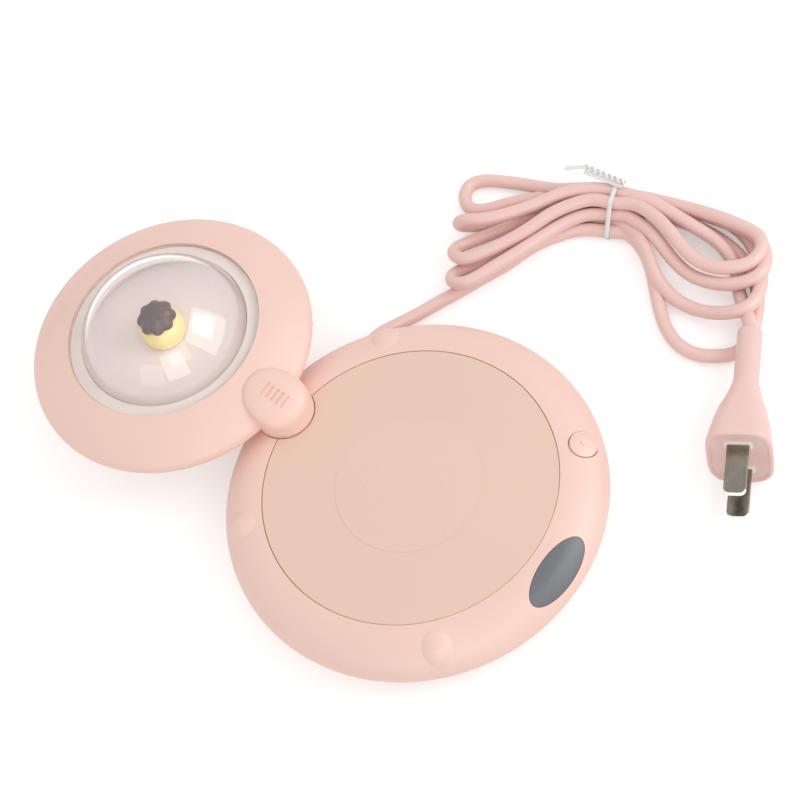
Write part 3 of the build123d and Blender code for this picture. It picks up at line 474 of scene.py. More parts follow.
def metal(name, colour, roughness, lines=4000, stretch=(1, 1, 8), bump=0.01, spread=0.08):
    """Metal with marks stretched along one direction."""
    made, tree, surface, place = new_material(name)
    drawn = add(tree, "Mapping", {"Vector": place, "Scale": stretch})
    effect = place_group(tree, tool_marks, {"Vector": drawn.outputs[0], "Lines": lines})
    drift_colour(tree, surface, effect.outputs["Gloss"], colour, spread)
    rough = ranged(tree, effect.outputs["Gloss"], roughness - BRIGHTER, roughness + DULLER)
    tree.links.new(rough, surface.inputs["Roughness"])
    emboss(tree, surface, effect.outputs["Height"], 0.5, bump)
    surface.inputs["Metallic"].default_value = 1.0
    return made


bright_zinc = metal("bright_zinc", paint(206, 208, 210), 0.32)
turned_steel = metal("turned_steel", paint(196, 196, 196), 0.25, lines=2500, stretch=(0.3, 0.3, 6))
turned_brass = metal("turned_brass", paint(214, 178, 104), 0.28, lines=2500, stretch=(0.3, 0.3, 6))
# The blades' nickel is darker than nickel to paint their dim reflection, and the tips are paler to paint
# their highlight.
peened_nickel_painted_dim_reflection = metal("peened_nickel_painted_dim_reflection", paint(138, 131, 121), 0.3, lines=2600, stretch=(1, 1, 1), bump=0.05,
                      spread=0.16)
polished_tip_painted_highlight = metal("polished_tip_painted_highlight", paint(236, 232, 226), 0.08, lines=900, stretch=(1, 1, 1), bump=0.002,
                     spread=0.03)
metals = (bright_zinc, turned_steel, turned_brass, peened_nickel_painted_dim_reflection, polished_tip_painted_highlight)
print("metals:", [finish.name for finish in metals])

# %% Felt and circuit boards
TINNED_PAD = paint(205, 205, 200)
TRACK_SHADE = 1.7


def pressed_felt():
    """Pale ceramic felt."""
    made, tree, surface, place = new_material("pressed_felt")
    effect = place_group(tree, fibres, {"Vector": place, "Threads": 1500})
    threads = tinted(tree, effect.outputs["Tone"], paint(196, 192, 184), paint(240, 238, 232))
    tree.links.new(threads, surface.inputs["Base Color"])
    emboss(tree, surface, effect.outputs["Height"], 0.9, 0.15)
    surface.inputs["Roughness"].default_value = 0.95
    return made


def circuit_board(name, lacquer, pitch):
    """Lacquered board with tracks that show through, and bare tinned pads."""
    made, tree, surface, place = new_material(name)
    effect = place_group(tree, board_tracks, {"Vector": place, "Pitch": pitch})
    under = tinted(tree, effect.outputs["Tracks"], lacquer, shade(lacquer, TRACK_SHADE))
    board = tinted(tree, effect.outputs["Pads"], under, TINNED_PAD)
    tree.links.new(board, surface.inputs["Base Color"])
    tree.links.new(effect.outputs["Pads"], surface.inputs["Metallic"])
    emboss(tree, surface, effect.outputs["Tracks"], 0.5, 0.03)
    surface.inputs["Roughness"].default_value = 0.35
    return made


felt_pale = pressed_felt()
green_board = circuit_board("green_board", paint(28, 96, 58), 260)
white_board = circuit_board("white_board", paint(226, 226, 220), 300)
print("materials:", len(bpy.data.materials))

# %% [markdown]
# ## Dressing the hard pieces
#
# Each piece that came in with the frame and stays in view keeps its mesh, and gets its finish through its
# material slots. The list goes by finish, because that is how the maker would order the surfaces.

# %% Dress the pieces
DRESSING = [
    (soft_pink, ["rim_shell", "base_tray", "lid_shell", "lid_cover", "button_cap"]),
    (plate_lacquer, ["heating_plate"]),
    (film_gloss, ["plate_film"]),
    (window_smoke_and_painted_reflection, ["display_window"]),
    (milky_disc, ["lamp_platform"]),
    (flex_pink, ["strain_relief"]),
    (pad_rubber, ["anti_slip_pad"]),
    (bright_zinc, ["case_screws", "clamp_screws", "board_screws", "lid_screws"]),
    (bright_zinc, ["heater_clamp", "thermal_fuse"]),
    (turned_steel, ["pivot_shaft", "retaining_ring"]),
    (turned_brass, ["pivot_bush"]),
    (white_nylon, ["thrust_washer", "leds", "switch_plunger"]),
    (lead_sleeve, ["lamp_lead"]),
    (amber_sheet, ["heater_mat"]),
    (felt_pale, ["insulation_felt"]),
    (black_resin, ["board_parts", "display_module", "tact_switch", "temperature_sensor"]),
    (green_board, ["control_board", "display_board", "switch_board"]),
    (white_board, ["led_board"]),
]


def dress(finish, names):
    """Give a finish to every material slot of the named nodes."""
    for name in names:
        piece = nodes[name]
        if not piece.material_slots:
            piece.data.materials.append(finish)
        for slot in piece.material_slots:
            slot.material = finish


for finish, names in DRESSING:
    dress(finish, names)
print("dressed nodes:", sum(len(names) for _, names in DRESSING))

# %% [markdown]
# ## The cord's line
#
# The cord is one long piece of soft, round flex. From the base it runs along the table to the hank. There
# it passes the tie nine times, and between the passes it turns back in bends on both sides. A smooth spline
# with its control points close to the line of the flex is the natural way to draw it: the spline rounds
# every corner.
#
# The tie squeezes the nine passes into a small stack: four on the table, three on those, and two on top. A
# pass is named by its place in that stack, so the cord goes through the tie where there is room for it.

# %% The stack in the tie
CORD_RADIUS = 2.1
TIE_MIDDLE = (114.4, 6.5)
TIE_TURN = radians(15.5)
STACK = {"near_low": (-6.6, 2.2), "second_low": (-2.3, 2.2), "third_low": (2.1, 2.2), "far_low": (6.5, 2.2),
         "near_mid": (-2.6, 5.7), "centre_mid": (1.5, 5.9), "far_mid": (5.5, 5.9),
         "near_top": (-0.6, 9.3), "far_top": (3.8, 9.5)}


def in_tie(name):
    """Point of a pass in the middle of the tie, in millimetres."""
    across, height = STACK[name]
    return (TIE_MIDDLE[0] + across * cos(TIE_TURN), TIE_MIDDLE[1] + across * sin(TIE_TURN), height)


# %% The cord's route, in millimetres
to_hank = [(34, 45.4, 6.4), (39, 45.4, 6.4), (44.5, 43.9, 4.8), (52, 40.9, 2.8), (59.7, 37.7, 2.2),
           (64.3, 35.2, 2.2), (69.8, 32.5, 2.2), (76.1, 29.5, 2.2), (82.8, 26, 2.2), (91.2, 23.3, 2.2),
           (97.6, 19.6, 2.2), (104.7, 13.4, 2.2)]
widest_right = [(110.4, -0.8, 2.2), (109.1, -5.5, 2.2), (105.7, -11.2, 2.2), (101.3, -16, 2.2),
                (96.3, -20.4, 2.2), (91.5, -24.9, 2.2), (86.7, -30.4, 2.2), (83.8, -36.5, 2.2),
                (83.8, -42.7, 2.2), (86.1, -47.9, 2.2), (89.6, -52.6, 2.2), (94.7, -54.2, 2.2),
                (100.8, -52.5, 2.2), (106.6, -50.1, 2.2), (112, -46.7, 2.2), (116.3, -42.2, 2.2),
                (119.8, -35.9, 2.2), (121.8, -28.5, 2.2), (122.4, -20.9, 2.2), (122, -13, 2.2),
                (120.2, -2.8, 2.2)]
second_left = [(114.4, 15.5, 2.2), (110.5, 21.1, 2.2), (105.7, 26.4, 2.2), (99.3, 30.5, 2.2),
               (92.9, 34.8, 2.2), (87.3, 38.7, 2.3), (82.4, 42, 2.7), (78.6, 43.3, 4.1),
               (75.6, 41.6, 6.3), (74.4, 37, 8), (77, 33.8, 8.5), (81.4, 30.9, 8.5), (87.7, 27.3, 8.5),
               (94.2, 24.1, 8.7), (101.5, 21.4, 9.1), (107, 17.7, 9.3), (112.4, 12.7, 9.3)]
outer_right = [(116.8, 0.5, 9.4), (116.4, -5.5, 9.8), (115, -11.2, 9.9), (112.9, -16.4, 9.6),
               (110, -22.4, 9.2), (108.4, -28.8, 9.2), (109, -34.4, 9.4), (111.9, -39.7, 9.8),
               (115.5, -43.1, 10), (121.2, -43.4, 9.9), (125.1, -39.9, 9.7), (125.5, -34, 9.4),
               (125.5, -26.7, 8.8), (125, -19, 7.8), (124.1, -11, 6.6), (122.4, -1, 5.8)]
farthest_left = [(118.3, 14.9, 5.8), (114.7, 21.3, 5.6), (112.1, 26.8, 4.8), (111, 33.3, 3.2),
                 (109.7, 39.7, 2.3), (107.7, 45.4, 2.2), (105.4, 51.2, 2.2), (101.6, 54.7, 2.2),
                 (96.8, 53.5, 2.2), (93.4, 49.1, 2.2), (95.8, 44.1, 2.2), (101.6, 39.1, 2.2),
                 (106.1, 33.7, 2.2), (111.2, 28.6, 2.2), (115.7, 22.9, 2.2), (119.3, 15.2, 2.2)]
third_right = [(124.1, -2.2, 2.2), (126.1, -10.1, 2.2), (127.9, -17.1, 2.2), (128.5, -23.5, 2.2),
               (127.7, -30.3, 2.2), (125.3, -36, 2.3), (121.7, -40.7, 3), (116.5, -45.3, 4.8),
               (111.8, -48.4, 6.2), (105.9, -50.3, 7.8), (101.2, -49.1, 8.3), (98.5, -44.5, 6.4),
               (97, -38.4, 4), (96.6, -32.1, 2.6), (97, -26, 2.8), (98.6, -20.8, 4.2),
               (100.8, -16.9, 5.6), (104.3, -13, 6.2), (108.6, -7.2, 5.4), (111.2, -1.2, 3.8)]
nearest_left = [(109.7, 12.9, 2.2), (106, 19.7, 2.2), (99.9, 24.3, 2.2), (92.5, 28.2, 2.2),
                (85, 31.4, 2.2), (77.4, 34.6, 2.3), (73.3, 37.8, 2.8), (69.3, 38.3, 4.6),
                (66.7, 34.9, 6.9), (67.6, 31, 8.2), (71.4, 28.6, 8.4), (76.6, 26.6, 8.1),
                (82.4, 24.3, 7.6), (89, 22, 7), (95.4, 19.8, 6.4), (102.8, 16.8, 6), (108.7, 12.7, 5.7)]
second_right = [(113.9, 1.8, 6), (113, -4.8, 6.4), (111.6, -10, 6.4), (109.1, -15.5, 6),
                (106.7, -21.1, 5.2), (105.3, -27.4, 4.6), (105.7, -33.4, 5.2), (106.7, -39.2, 6.6),
                (109.9, -44.3, 7.8), (113.9, -47.1, 8.5), (119.7, -45.5, 7.4), (124.6, -41.2, 6.5),
                (126.5, -35.2, 6.1), (126.4, -28.9, 5.7), (125.9, -20.8, 5.3), (124.4, -12.4, 4.9),
                (121.3, -2.6, 5.2)]
third_left = [(114.1, 13.6, 5.8), (110.4, 19.7, 5.4), (106.6, 25.8, 4.9), (102.2, 30.6, 4.3),
              (97.9, 35.3, 3), (93.7, 39.5, 2.2), (90.7, 42, 2.2), (88.2, 46, 2.2), (86.1, 47.3, 4.6),
              (85.9, 46.1, 7.8), (86.9, 42.9, 9.7), (88.8, 39.2, 9.8), (91.9, 35.8, 9.5),
              (97.2, 31.6, 8.7), (102.3, 27.4, 8.9), (108, 23.5, 9.3), (112.5, 19.1, 9.6),
              (116.4, 12.9, 9.6)]
to_plug = [(119.3, 0.1, 9.7), (119.9, -4.2, 9.5), (119.9, -8.9, 9), (119.7, -13.6, 8.3),
           (119.5, -18.8, 7.5), (119.5, -23.8, 6.5), (119.1, -28.7, 5.5), (117.3, -33.5, 4.6),
           (114.6, -37.5, 3.4), (111.1, -40.2, 2.5), (107.4, -43.3, 2.8), (103.2, -47.8, 4.6),
           (99.3, -52, 7.2), (96, -54.5, 8.6)]
cord_route = (to_hank + [in_tie("near_low")] + widest_right
              + [in_tie("third_low")] + second_left + [in_tie("near_top")] + outer_right
              + [in_tie("far_mid")] + farthest_left + [in_tie("far_low")] + third_right
              + [in_tie("second_low")] + nearest_left + [in_tie("near_mid")] + second_right
              + [in_tie("centre_mid")] + third_left + [in_tie("far_top")] + to_plug)
print("points on the cord:", len(cord_route))

# %% Draw the cord
LINE_STEPS = 8
ROUND_STEPS = 6


def smooth_line(name, points, bevel):
    """A round flex along a smooth spline, from its control points in millimetres."""
    data = bpy.data.curves.new(name, "CURVE")
    data.dimensions = "3D"
    spline = data.splines.new("NURBS")
    spline.points.add(len(points) - 1)
    for point, place in zip(spline.points, points):
        point.co = (place[0] * MM, place[1] * MM, place[2] * MM, 1)
    spline.order_u = 3
    spline.use_endpoint_u = True
    data.resolution_u = LINE_STEPS
    data.bevel_depth = bevel * MM
    data.bevel_resolution = ROUND_STEPS
    data.use_fill_caps = True
    return add_object(name, data)


def line_length(points):
    """Length of the spline that smooth_line draws, measured on a bare copy of it."""
    bare = smooth_line("bare_line", points, 0)
    mesh = bpy.data.meshes.new_from_object(bare)
    places = [vertex.co.copy() for vertex in mesh.vertices]
    bpy.data.objects.remove(bare)
    return sum((after - before).length for before, after in zip(places, places[1:]))


mains_cord = smooth_line("mains_cord", cord_route, CORD_RADIUS)
mains_cord.data.materials.append(flex_pink)
cord_length = line_length(cord_route)
print("cord length in metres:", round(cord_length, 3))

# %% [markdown]
# ## Making a piece from a bmesh
#
# The next pieces are all built with mesh operators. Each ends the same way: its doubled points are merged,
# its normals are made to point outward, its faces are shaded smooth except across sharp edges, and its mesh
# is linked to an object that sits at the origin. One helper does that, and it names the body that the piece
# moves with. Shapes are drawn in millimetres, because that is how the maker thinks of them, and a second
# helper brings them to metres. A third rounds edges.

# %% Piece helper
MERGE_DISTANCE = 0.002 * MM


def make_piece(name, shape, finishes, body, sharp=40):
    """Turn a bmesh into a finished piece that rides on a body."""
    bmesh.ops.remove_doubles(shape, verts=shape.verts, dist=MERGE_DISTANCE)
    bmesh.ops.recalc_face_normals(shape, faces=shape.faces)
    data = bpy.data.meshes.new(name)
    shape.to_mesh(data)
    shape.free()
    data.shade_smooth()
    data.set_sharp_from_angle(angle=radians(sharp))
    for finish in finishes:
        data.materials.append(finish)
    piece = add_object(name, data)
    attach(piece, body)
    print(name, "faces:", len(data.polygons))
    return piece


def to_metres(shape, place=Matrix.Identity(4)):
    """Put a shape that is drawn in millimetres in its place, in metres."""
    bmesh.ops.transform(shape, matrix=Matrix.Scale(MM, 4) @ place, verts=shape.verts)


def round_edges(shape, edges, radius, segments):
    """Bevel some edges round."""
    bmesh.ops.bevel(shape, geom=edges, offset=radius, segments=segments, profile=0.5, affect="EDGES",
                    material=-1)


def subdivide(piece, levels):
    """Smooth a piece with a live subdivision."""
    modifier = piece.modifiers.new("smooth", "SUBSURF")
    modifier.levels = levels
    modifier.render_levels = levels


# %% [markdown]
# ## Pulling a ring through its sections
#
# The plug and the pivot's knob both change their cross-section on the way: a circle turns into a rounded
# rectangle, or into an egg. Every section gets the same number of points, so one ring of edges can be
# extruded from section to section: the operator makes the faces, and each new ring is then laid on its own
# section. A section between a circle and a rounded rectangle is a superellipse. Its power is 2 for a circle
# or an ellipse, and the corners fill out as the power grows.

# %% Rings and sections
SECTION_POINTS = 48


def section_point(index, half_width, half_height, power):
    """Point of a superellipse in the section's plane."""
    turn = tau * index / SECTION_POINTS
    x, y = cos(turn), sin(turn)
    return (half_width * abs(x) ** (2 / power) * (1 if x > 0 else -1),
            half_height * abs(y) ** (2 / power) * (1 if y > 0 else -1))


def first_ring(shape):
    """Vertices of a round ring, in order."""
    return bmesh.ops.create_circle(shape, segments=SECTION_POINTS, radius=1)["verts"]


def next_ring(shape, verts):
    """Extrude a ring, and give the new one's vertices in the same order."""
    ring = set(verts)
    edges = [edge for edge in shape.edges if edge.verts[0] in ring and edge.verts[1] in ring]
    made = bmesh.ops.extrude_edge_only(shape, edges=edges)["geom"]
    twins = {item for item in made if isinstance(item, bmesh.types.BMVert)}
    return [next(edge.other_vert(vert) for edge in vert.link_edges if edge.other_vert(vert) in twins)
            for vert in verts]


# %% [markdown]
# ## The plug
#
# The plug is moulded round the end of the cord. It starts as a straight round neck and swells into a
# rounded rectangle, and its face is a shallow recess with a fine texture. The sections are given as shares
# of the plug's length and of its growth, so the plug can be made longer or wider without drawing it again.

# %% Plug sizes, in millimetres
PLUG_NECK = Vector(cord_route[-1])
PLUG_FACE = Vector((56.7, -75.7, 13.1))
PLUG_AHEAD = (PLUG_FACE - PLUG_NECK).normalized()
PLUG_LENGTH = (PLUG_FACE - PLUG_NECK).length
PLUG_SIDE = Vector((0, 0, 1)).cross(PLUG_AHEAD).normalized()
PLUG_FRAME = Matrix.Translation(PLUG_FACE) @ Matrix(
    (PLUG_SIDE, PLUG_AHEAD.cross(PLUG_SIDE), PLUG_AHEAD)).transposed().to_4x4()
NECK_RADIUS = 3.7
PLUG_SIZE = (19.0, 26.0)
# Distance behind the face as a share of the length, and share of the growth from neck to face.
PLUG_SWELL = [(0.6, 0), (0.56, 0.05), (0.51, 0.14), (0.41, 0.34), (0.32, 0.57), (0.22, 0.75), (0.11, 0.9),
              (0.02, 1), (0.008, 0.99)]
# Distance behind the face as a share of the length, and share of the neck's radius.
NECK_STEPS = [(1, 0.6), (0.995, 0.85), (0.98, 0.96), (0.96, 1), (0.8, 1)]
# Distance behind the face as a share of the length, and how far inside the plug's outline.
FACE_STEPS = [(0.0, 0.4), (0.0, 1.1), (0.008, 1.3), (0.01, 1.6)]
CORNER_POWER = 3.7
print("plug length in millimetres:", round(PLUG_LENGTH, 1))

# %% The plug's moulding


def plug_moulding():
    """The plug's body, from the neck to the recessed face."""
    shape = bmesh.new()
    rings = [(share, NECK_RADIUS * part, NECK_RADIUS * part, 2.0) for share, part in NECK_STEPS]
    for share, growth in PLUG_SWELL:
        half_width = NECK_RADIUS + growth * (PLUG_SIZE[0] / 2 - NECK_RADIUS)
        half_height = NECK_RADIUS + growth * (PLUG_SIZE[1] / 2 - NECK_RADIUS)
        rings.append((share, half_width, half_height, 2 + (CORNER_POWER - 2) * growth))
    for share, inset in FACE_STEPS:
        rings.append((share, PLUG_SIZE[0] / 2 - inset, PLUG_SIZE[1] / 2 - inset, CORNER_POWER))
    verts = first_ring(shape)
    for number, (share, half_width, half_height, power) in enumerate(rings):
        if number:
            verts = next_ring(shape, verts)
        for index, vert in enumerate(verts):
            x, y = section_point(index, half_width, half_height, power)
            vert.co = (x, y, -share * PLUG_LENGTH)
    bmesh.ops.holes_fill(shape, edges=shape.edges, sides=SECTION_POINTS)
    for face in shape.faces:
        face.material_index = 1 if len(face.verts) > 4 and face.calc_center_median().z > -1 else 0
    to_metres(shape, PLUG_FRAME)
    return shape


plug = make_piece("plug_moulding", plug_moulding(), [flex_pink, face_pink], "base", sharp=50)
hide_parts("plug_body")

# %% [markdown]
# ## Blades and their collars
#
# The two blades are flat nickel strips with rounded ends, one above the other. A box is a fair start: its
# two far corners are bevelled round, and then its sharp edges get a small bevel that catches the light.
# Where a blade leaves the face, a white collar of the inner frame shows round it.

# %% Blades
BLADE_SIZE = (6.3, 1.5, 16.0)
BLADE_SPACING = 12.7
TIP_ROUND = 1.8
BLADE_EDGE = 0.3
COLLAR_SIZE = (8.2, 3.2, 0.5)
COLLAR_SINK = 0.2
COLLAR_CORNER = 0.9
COLLAR_EDGE = 0.12


def sized_box(shape, size, centre):
    """A box of a given size about a centre, in the shape's own frame."""
    place = Matrix.Translation(centre) @ Matrix.Diagonal((*size, 1))
    return bmesh.ops.create_cube(shape, size=1, matrix=place)["verts"]


def edges_along(verts, axis):
    """Edges among some vertices that run along one axis."""
    edges = {edge for vert in verts for edge in vert.link_edges}
    return [edge for edge in edges
            if abs((edge.verts[1].co - edge.verts[0].co).normalized()[axis]) > 0.99]


def plug_blades():
    """Two rounded blades, with their very tips as a second, paler finish that paints their highlight."""
    shape = bmesh.new()
    for side in (-1, 1):
        verts = sized_box(shape, BLADE_SIZE, (0, side * BLADE_SPACING / 2, BLADE_SIZE[2] / 2))
        corners = [edge for edge in edges_along(verts, 1) if edge.verts[0].co.z > BLADE_SIZE[2] - 0.1]
        round_edges(shape, corners, TIP_ROUND, 8)
    rims = [edge for edge in shape.edges if edge.calc_face_angle(0) > radians(60)
            and max(vert.co.z for vert in edge.verts) > 0.1]
    round_edges(shape, rims, BLADE_EDGE, 3)
    # The faces at the tips get the paler metal, which paints their highlight.
    for face in shape.faces:
        face.material_index = 1 if face.normal.z > 0.2 else 0
    to_metres(shape, PLUG_FRAME)
    return shape


def blade_collars():
    """White collars where the blades leave the face."""
    shape = bmesh.new()
    for side in (-1, 1):
        verts = sized_box(shape, COLLAR_SIZE, (0, side * BLADE_SPACING / 2, -COLLAR_SINK))
        round_edges(shape, edges_along(verts, 2), COLLAR_CORNER, 5)
    top = [edge for edge in shape.edges if min(vert.co.z for vert in edge.verts) > 0]
    round_edges(shape, top, COLLAR_EDGE, 2)
    to_metres(shape, PLUG_FRAME)
    return shape


blades = make_piece("plug_blades", plug_blades(), [peened_nickel_painted_dim_reflection, polished_tip_painted_highlight], "base")
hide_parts("plug_pins")
collars = make_piece("blade_collars", blade_collars(), [white_nylon], "base")

# %% [markdown]
# ## The pivot's knob
#
# The lid is held and turned by a smooth pebble that grows out of a round foot over the pivot. It leans: its
# end at the lid climbs the lid's slope. So its sections are eggs, round at the foot and longer towards the
# lid, and each of them is sheared upward along the lean. The crown above them follows a quarter of a
# superellipse, which keeps the top rather flat and its edge soft. Five short grips are cut into the top
# with a boolean, since no mesh operator cuts a slot into a curved surface.

# %% Knob
PIVOT = (0.0, 47.0)
FOOT_RADIUS = 9.0
FOOT_EDGE = FOOT_RADIUS - 0.1
KNOB_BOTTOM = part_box("pivot_knob")[0][2] / MM
KNOB_LEAN = 0.34
CROWN_BOTTOM = 25.3
CROWN_HEIGHT = 3.6
CROWN_STEPS = 12
CROWN_POWER = 0.8
# Height on the pivot's axis, lean, half width, reach away from the lid, reach towards the lid, power.
KNOB_FOOT = [(KNOB_BOTTOM, 0, FOOT_EDGE, FOOT_EDGE, FOOT_EDGE, 2),
             (20.0, 0, FOOT_RADIUS, FOOT_RADIUS, FOOT_RADIUS, 2),
             (20.6, 0.1, 9.05, 9.05, 12.5, 2),
             (21.6, 0.25, 9.05, 9.05, 14.2, 2.05),
             (23.4, KNOB_LEAN, 9.1, 8.95, 13.6, 2.1)]
# Half width, reach away from the lid, reach towards the lid, power.
CROWN_BASE = (8.95, 7.9, 11.1, 2.2)
GRIP_COUNT = 5
GRIP_PITCH = 1.7
GRIP_SIZE = (4.4, 0.7, 2.0)
GRIP_DEPTH = 0.45
GRIP_OFFSET = 0.6
GRIP_CORNER = 0.34
print("knob bottom in millimetres:", round(KNOB_BOTTOM, 2))

# %% The pebble and its grips


def lay_egg(verts, height, lean, half_width, near, far, power):
    """Lay a ring on an egg-shaped section that leans up towards the lid."""
    for index, vert in enumerate(verts):
        x, y = section_point(index, half_width, 1, power)
        y *= far if y > 0 else near
        vert.co = (PIVOT[0] + x, PIVOT[1] + y, height + lean * y)


def knob_pebble():
    """Round foot, leaning egg and soft crown of the knob."""
    shape = bmesh.new()
    verts = first_ring(shape)
    half_width, near, far, power = CROWN_BASE
    sections = list(KNOB_FOOT)
    for step in range(CROWN_STEPS):
        angle = pi / 2 * step / CROWN_STEPS
        shrink, rise = cos(angle) ** CROWN_POWER, sin(angle) ** CROWN_POWER
        sections.append((CROWN_BOTTOM + CROWN_HEIGHT * rise, KNOB_LEAN, half_width * shrink, near * shrink,
                         far * shrink, power))
    for number, section in enumerate(sections):
        if number:
            verts = next_ring(shape, verts)
        lay_egg(verts, *section)
    bmesh.ops.holes_fill(shape, edges=shape.edges, sides=SECTION_POINTS)
    caps = [face for face in shape.faces if len(face.verts) > 4]
    bmesh.ops.poke(shape, faces=caps)
    to_metres(shape)
    return shape


def cut_grips(piece):
    """Cut the short grips across the top of the knob."""
    shape = bmesh.new()
    top = CROWN_BOTTOM + CROWN_HEIGHT
    for place in range(GRIP_COUNT):
        y = GRIP_OFFSET + GRIP_PITCH * (place - (GRIP_COUNT - 1) / 2)
        height = top + KNOB_LEAN * y + GRIP_SIZE[2] / 2 - GRIP_DEPTH
        verts = sized_box(shape, GRIP_SIZE, (PIVOT[0], PIVOT[1] + y, height))
        round_edges(shape, edges_along(verts, 2), GRIP_CORNER, 4)
    to_metres(shape)
    data = bpy.data.meshes.new("grip_cutters")
    shape.to_mesh(data)
    shape.free()
    cutter = add_object("grip_cutters", data)
    cut = piece.modifiers.new("grips", "BOOLEAN")
    cut.operation = "DIFFERENCE"
    cut.solver = "EXACT"
    cut.object = cutter
    bpy.context.view_layer.update()
    finished = bpy.data.meshes.new_from_object(piece.evaluated_get(bpy.context.evaluated_depsgraph_get()))
    piece.modifiers.clear()
    piece.data = finished
    bpy.data.objects.remove(cutter)
    finished.shade_smooth()
    finished.set_sharp_from_angle(angle=radians(35))


knob = make_piece("knob_pebble", knob_pebble(), [knob_pink], "lid", sharp=50)
cut_grips(knob)
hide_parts("pivot_knob")
print("knob faces with its grips:", len(knob.data.polygons))

# %% [markdown]
# ## The wire tie
#
# The tie is a white plastic ribbon with a wire inside. Pulled tight round the nine passes, it takes the
# shape of a rubber band round a bundle: the hull of nine circles. Blender has that hull as an operator. Two
# rings of points are put round each pass, a ribbon's width apart, the hull of all of them is taken, and its
# flat ends are removed, which leaves a band. The band gets a raised middle, where the wire is, and a
# thickness.
#
# The two ends of the ribbon are twisted together. A small round section that is spun about a line while it
# also moves along it makes one strand, and a second on the other side of the line makes the rope.

# %% The band
TIE_WIDTH = 1.4
TIE_THICKNESS = 0.28
WIRE_RISE = 0.22
SHOULDER_SHARE = 0.7
CORD_CLEARANCE = 0.03
FLOOR_GAP = 0.02
TIE_FRAME = Matrix.Translation((*TIE_MIDDLE, 0)) @ Matrix(
    ((cos(TIE_TURN), 0, sin(TIE_TURN)), (sin(TIE_TURN), 0, -cos(TIE_TURN)), (0, 1, 0))).to_4x4()


def tie_band():
    """Ribbon pulled tight round the passes of the cord."""
    shape = bmesh.new()
    for across, height in STACK.values():
        for side in (-1, 1):
            place = Matrix.Translation((across, height, side * TIE_WIDTH / 2))
            bmesh.ops.create_circle(shape, segments=32, radius=CORD_RADIUS + CORD_CLEARANCE, matrix=place)
    hull = bmesh.ops.convex_hull(shape, input=shape.verts, use_existing_faces=False)
    left_over = hull["geom_interior"] + hull["geom_unused"]
    inside = {item for item in left_over if isinstance(item, bmesh.types.BMVert)}
    bmesh.ops.delete(shape, geom=list(inside), context="VERTS")
    shape.normal_update()
    ends = [face for face in shape.faces if abs(face.normal.z) > 0.5]
    bmesh.ops.delete(shape, geom=ends, context="FACES")
    bmesh.ops.join_triangles(shape, faces=shape.faces, angle_face_threshold=radians(30),
                             angle_shape_threshold=pi)
    across = [edge for edge in shape.edges if abs(edge.verts[0].co.z - edge.verts[1].co.z) > 0.5 * TIE_WIDTH]
    bmesh.ops.subdivide_edges(shape, edges=across, cuts=3, use_grid_fill=True)
    bmesh.ops.recalc_face_normals(shape, faces=shape.faces)
    shape.normal_update()
    for vert in shape.verts:
        if abs(vert.co.z) < 0.3 * TIE_WIDTH:
            vert.co += vert.normal * WIRE_RISE * (1 if abs(vert.co.z) < 0.1 else SHOULDER_SHARE)
    bmesh.ops.solidify(shape, geom=shape.faces, thickness=-TIE_THICKNESS)
    bmesh.ops.transform(shape, matrix=TIE_FRAME, verts=shape.verts)
    for vert in shape.verts:
        vert.co.z = max(vert.co.z, FLOOR_GAP)
    to_metres(shape)
    return shape


# %% The twisted end
ROPE_START = Vector((120.2, 5.1, 13.0))
ROPE_END = Vector((119.4, 19.3, 13.3))
FLAT_END = Vector((115.7, 24.9, 13.3))
STRIP_START = Vector((118.8, 5.4, 12.5))
STRIP_END = Vector((117.8, 19.0, 12.7))
ROPE_HALF_TURNS = 7
ROPE_STEPS = 90
STRAND_RADIUS = 0.52
STRAND_OFFSET = 0.45
STRAND_POINTS = 12
RIBBON_WIDTH = 1.5
RIBBON_THICKNESS = 0.45
RIBBON_EDGE = 0.45 * RIBBON_THICKNESS


def along(start, end):
    """Frame at a start point with its Z towards an end."""
    turn = (end - start).to_track_quat("Z", "Y").to_matrix().to_4x4()
    return Matrix.Translation(start) @ turn


def add_strip(shape, start, end):
    """Flat ribbon between two points, with rounded edges."""
    length = (end - start).length
    older = set(shape.verts)
    verts = sized_box(shape, (RIBBON_WIDTH, RIBBON_THICKNESS, length), (0, 0, length / 2))
    round_edges(shape, edges_along(verts, 2), RIBBON_EDGE, 3)
    moved = [vert for vert in shape.verts if vert not in older]
    bmesh.ops.transform(shape, matrix=along(start, end), verts=moved)


def tie_tail():
    """Rope of the two twisted ends, the flat end beyond it, and the strip folded back below it."""
    shape = bmesh.new()
    climb = (ROPE_END - ROPE_START).length / ROPE_STEPS
    for side in (-1, 1):
        ring = bmesh.ops.create_circle(shape, segments=STRAND_POINTS, radius=STRAND_RADIUS,
                                       matrix=Matrix.Translation((side * STRAND_OFFSET, 0, 0)))["verts"]
        edges = list({edge for vert in ring for edge in vert.link_edges})
        bmesh.ops.spin(shape, geom=ring + edges, cent=(0, 0, 0), axis=(0, 0, 1), dvec=(0, 0, climb),
                       angle=ROPE_HALF_TURNS * pi, steps=ROPE_STEPS, use_merge=False)
    bmesh.ops.holes_fill(shape, edges=shape.edges, sides=STRAND_POINTS)
    bmesh.ops.transform(shape, matrix=along(ROPE_START, ROPE_END), verts=shape.verts)
    add_strip(shape, ROPE_END, FLAT_END)
    add_strip(shape, STRIP_START, STRIP_END)
    to_metres(shape)
    return shape


band = make_piece("tie_band", tie_band(), [tie_paper], "base", sharp=60)
tail = make_piece("tie_tail", tie_tail(), [tie_paper], "base", sharp=60)
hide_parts("cord_tie")
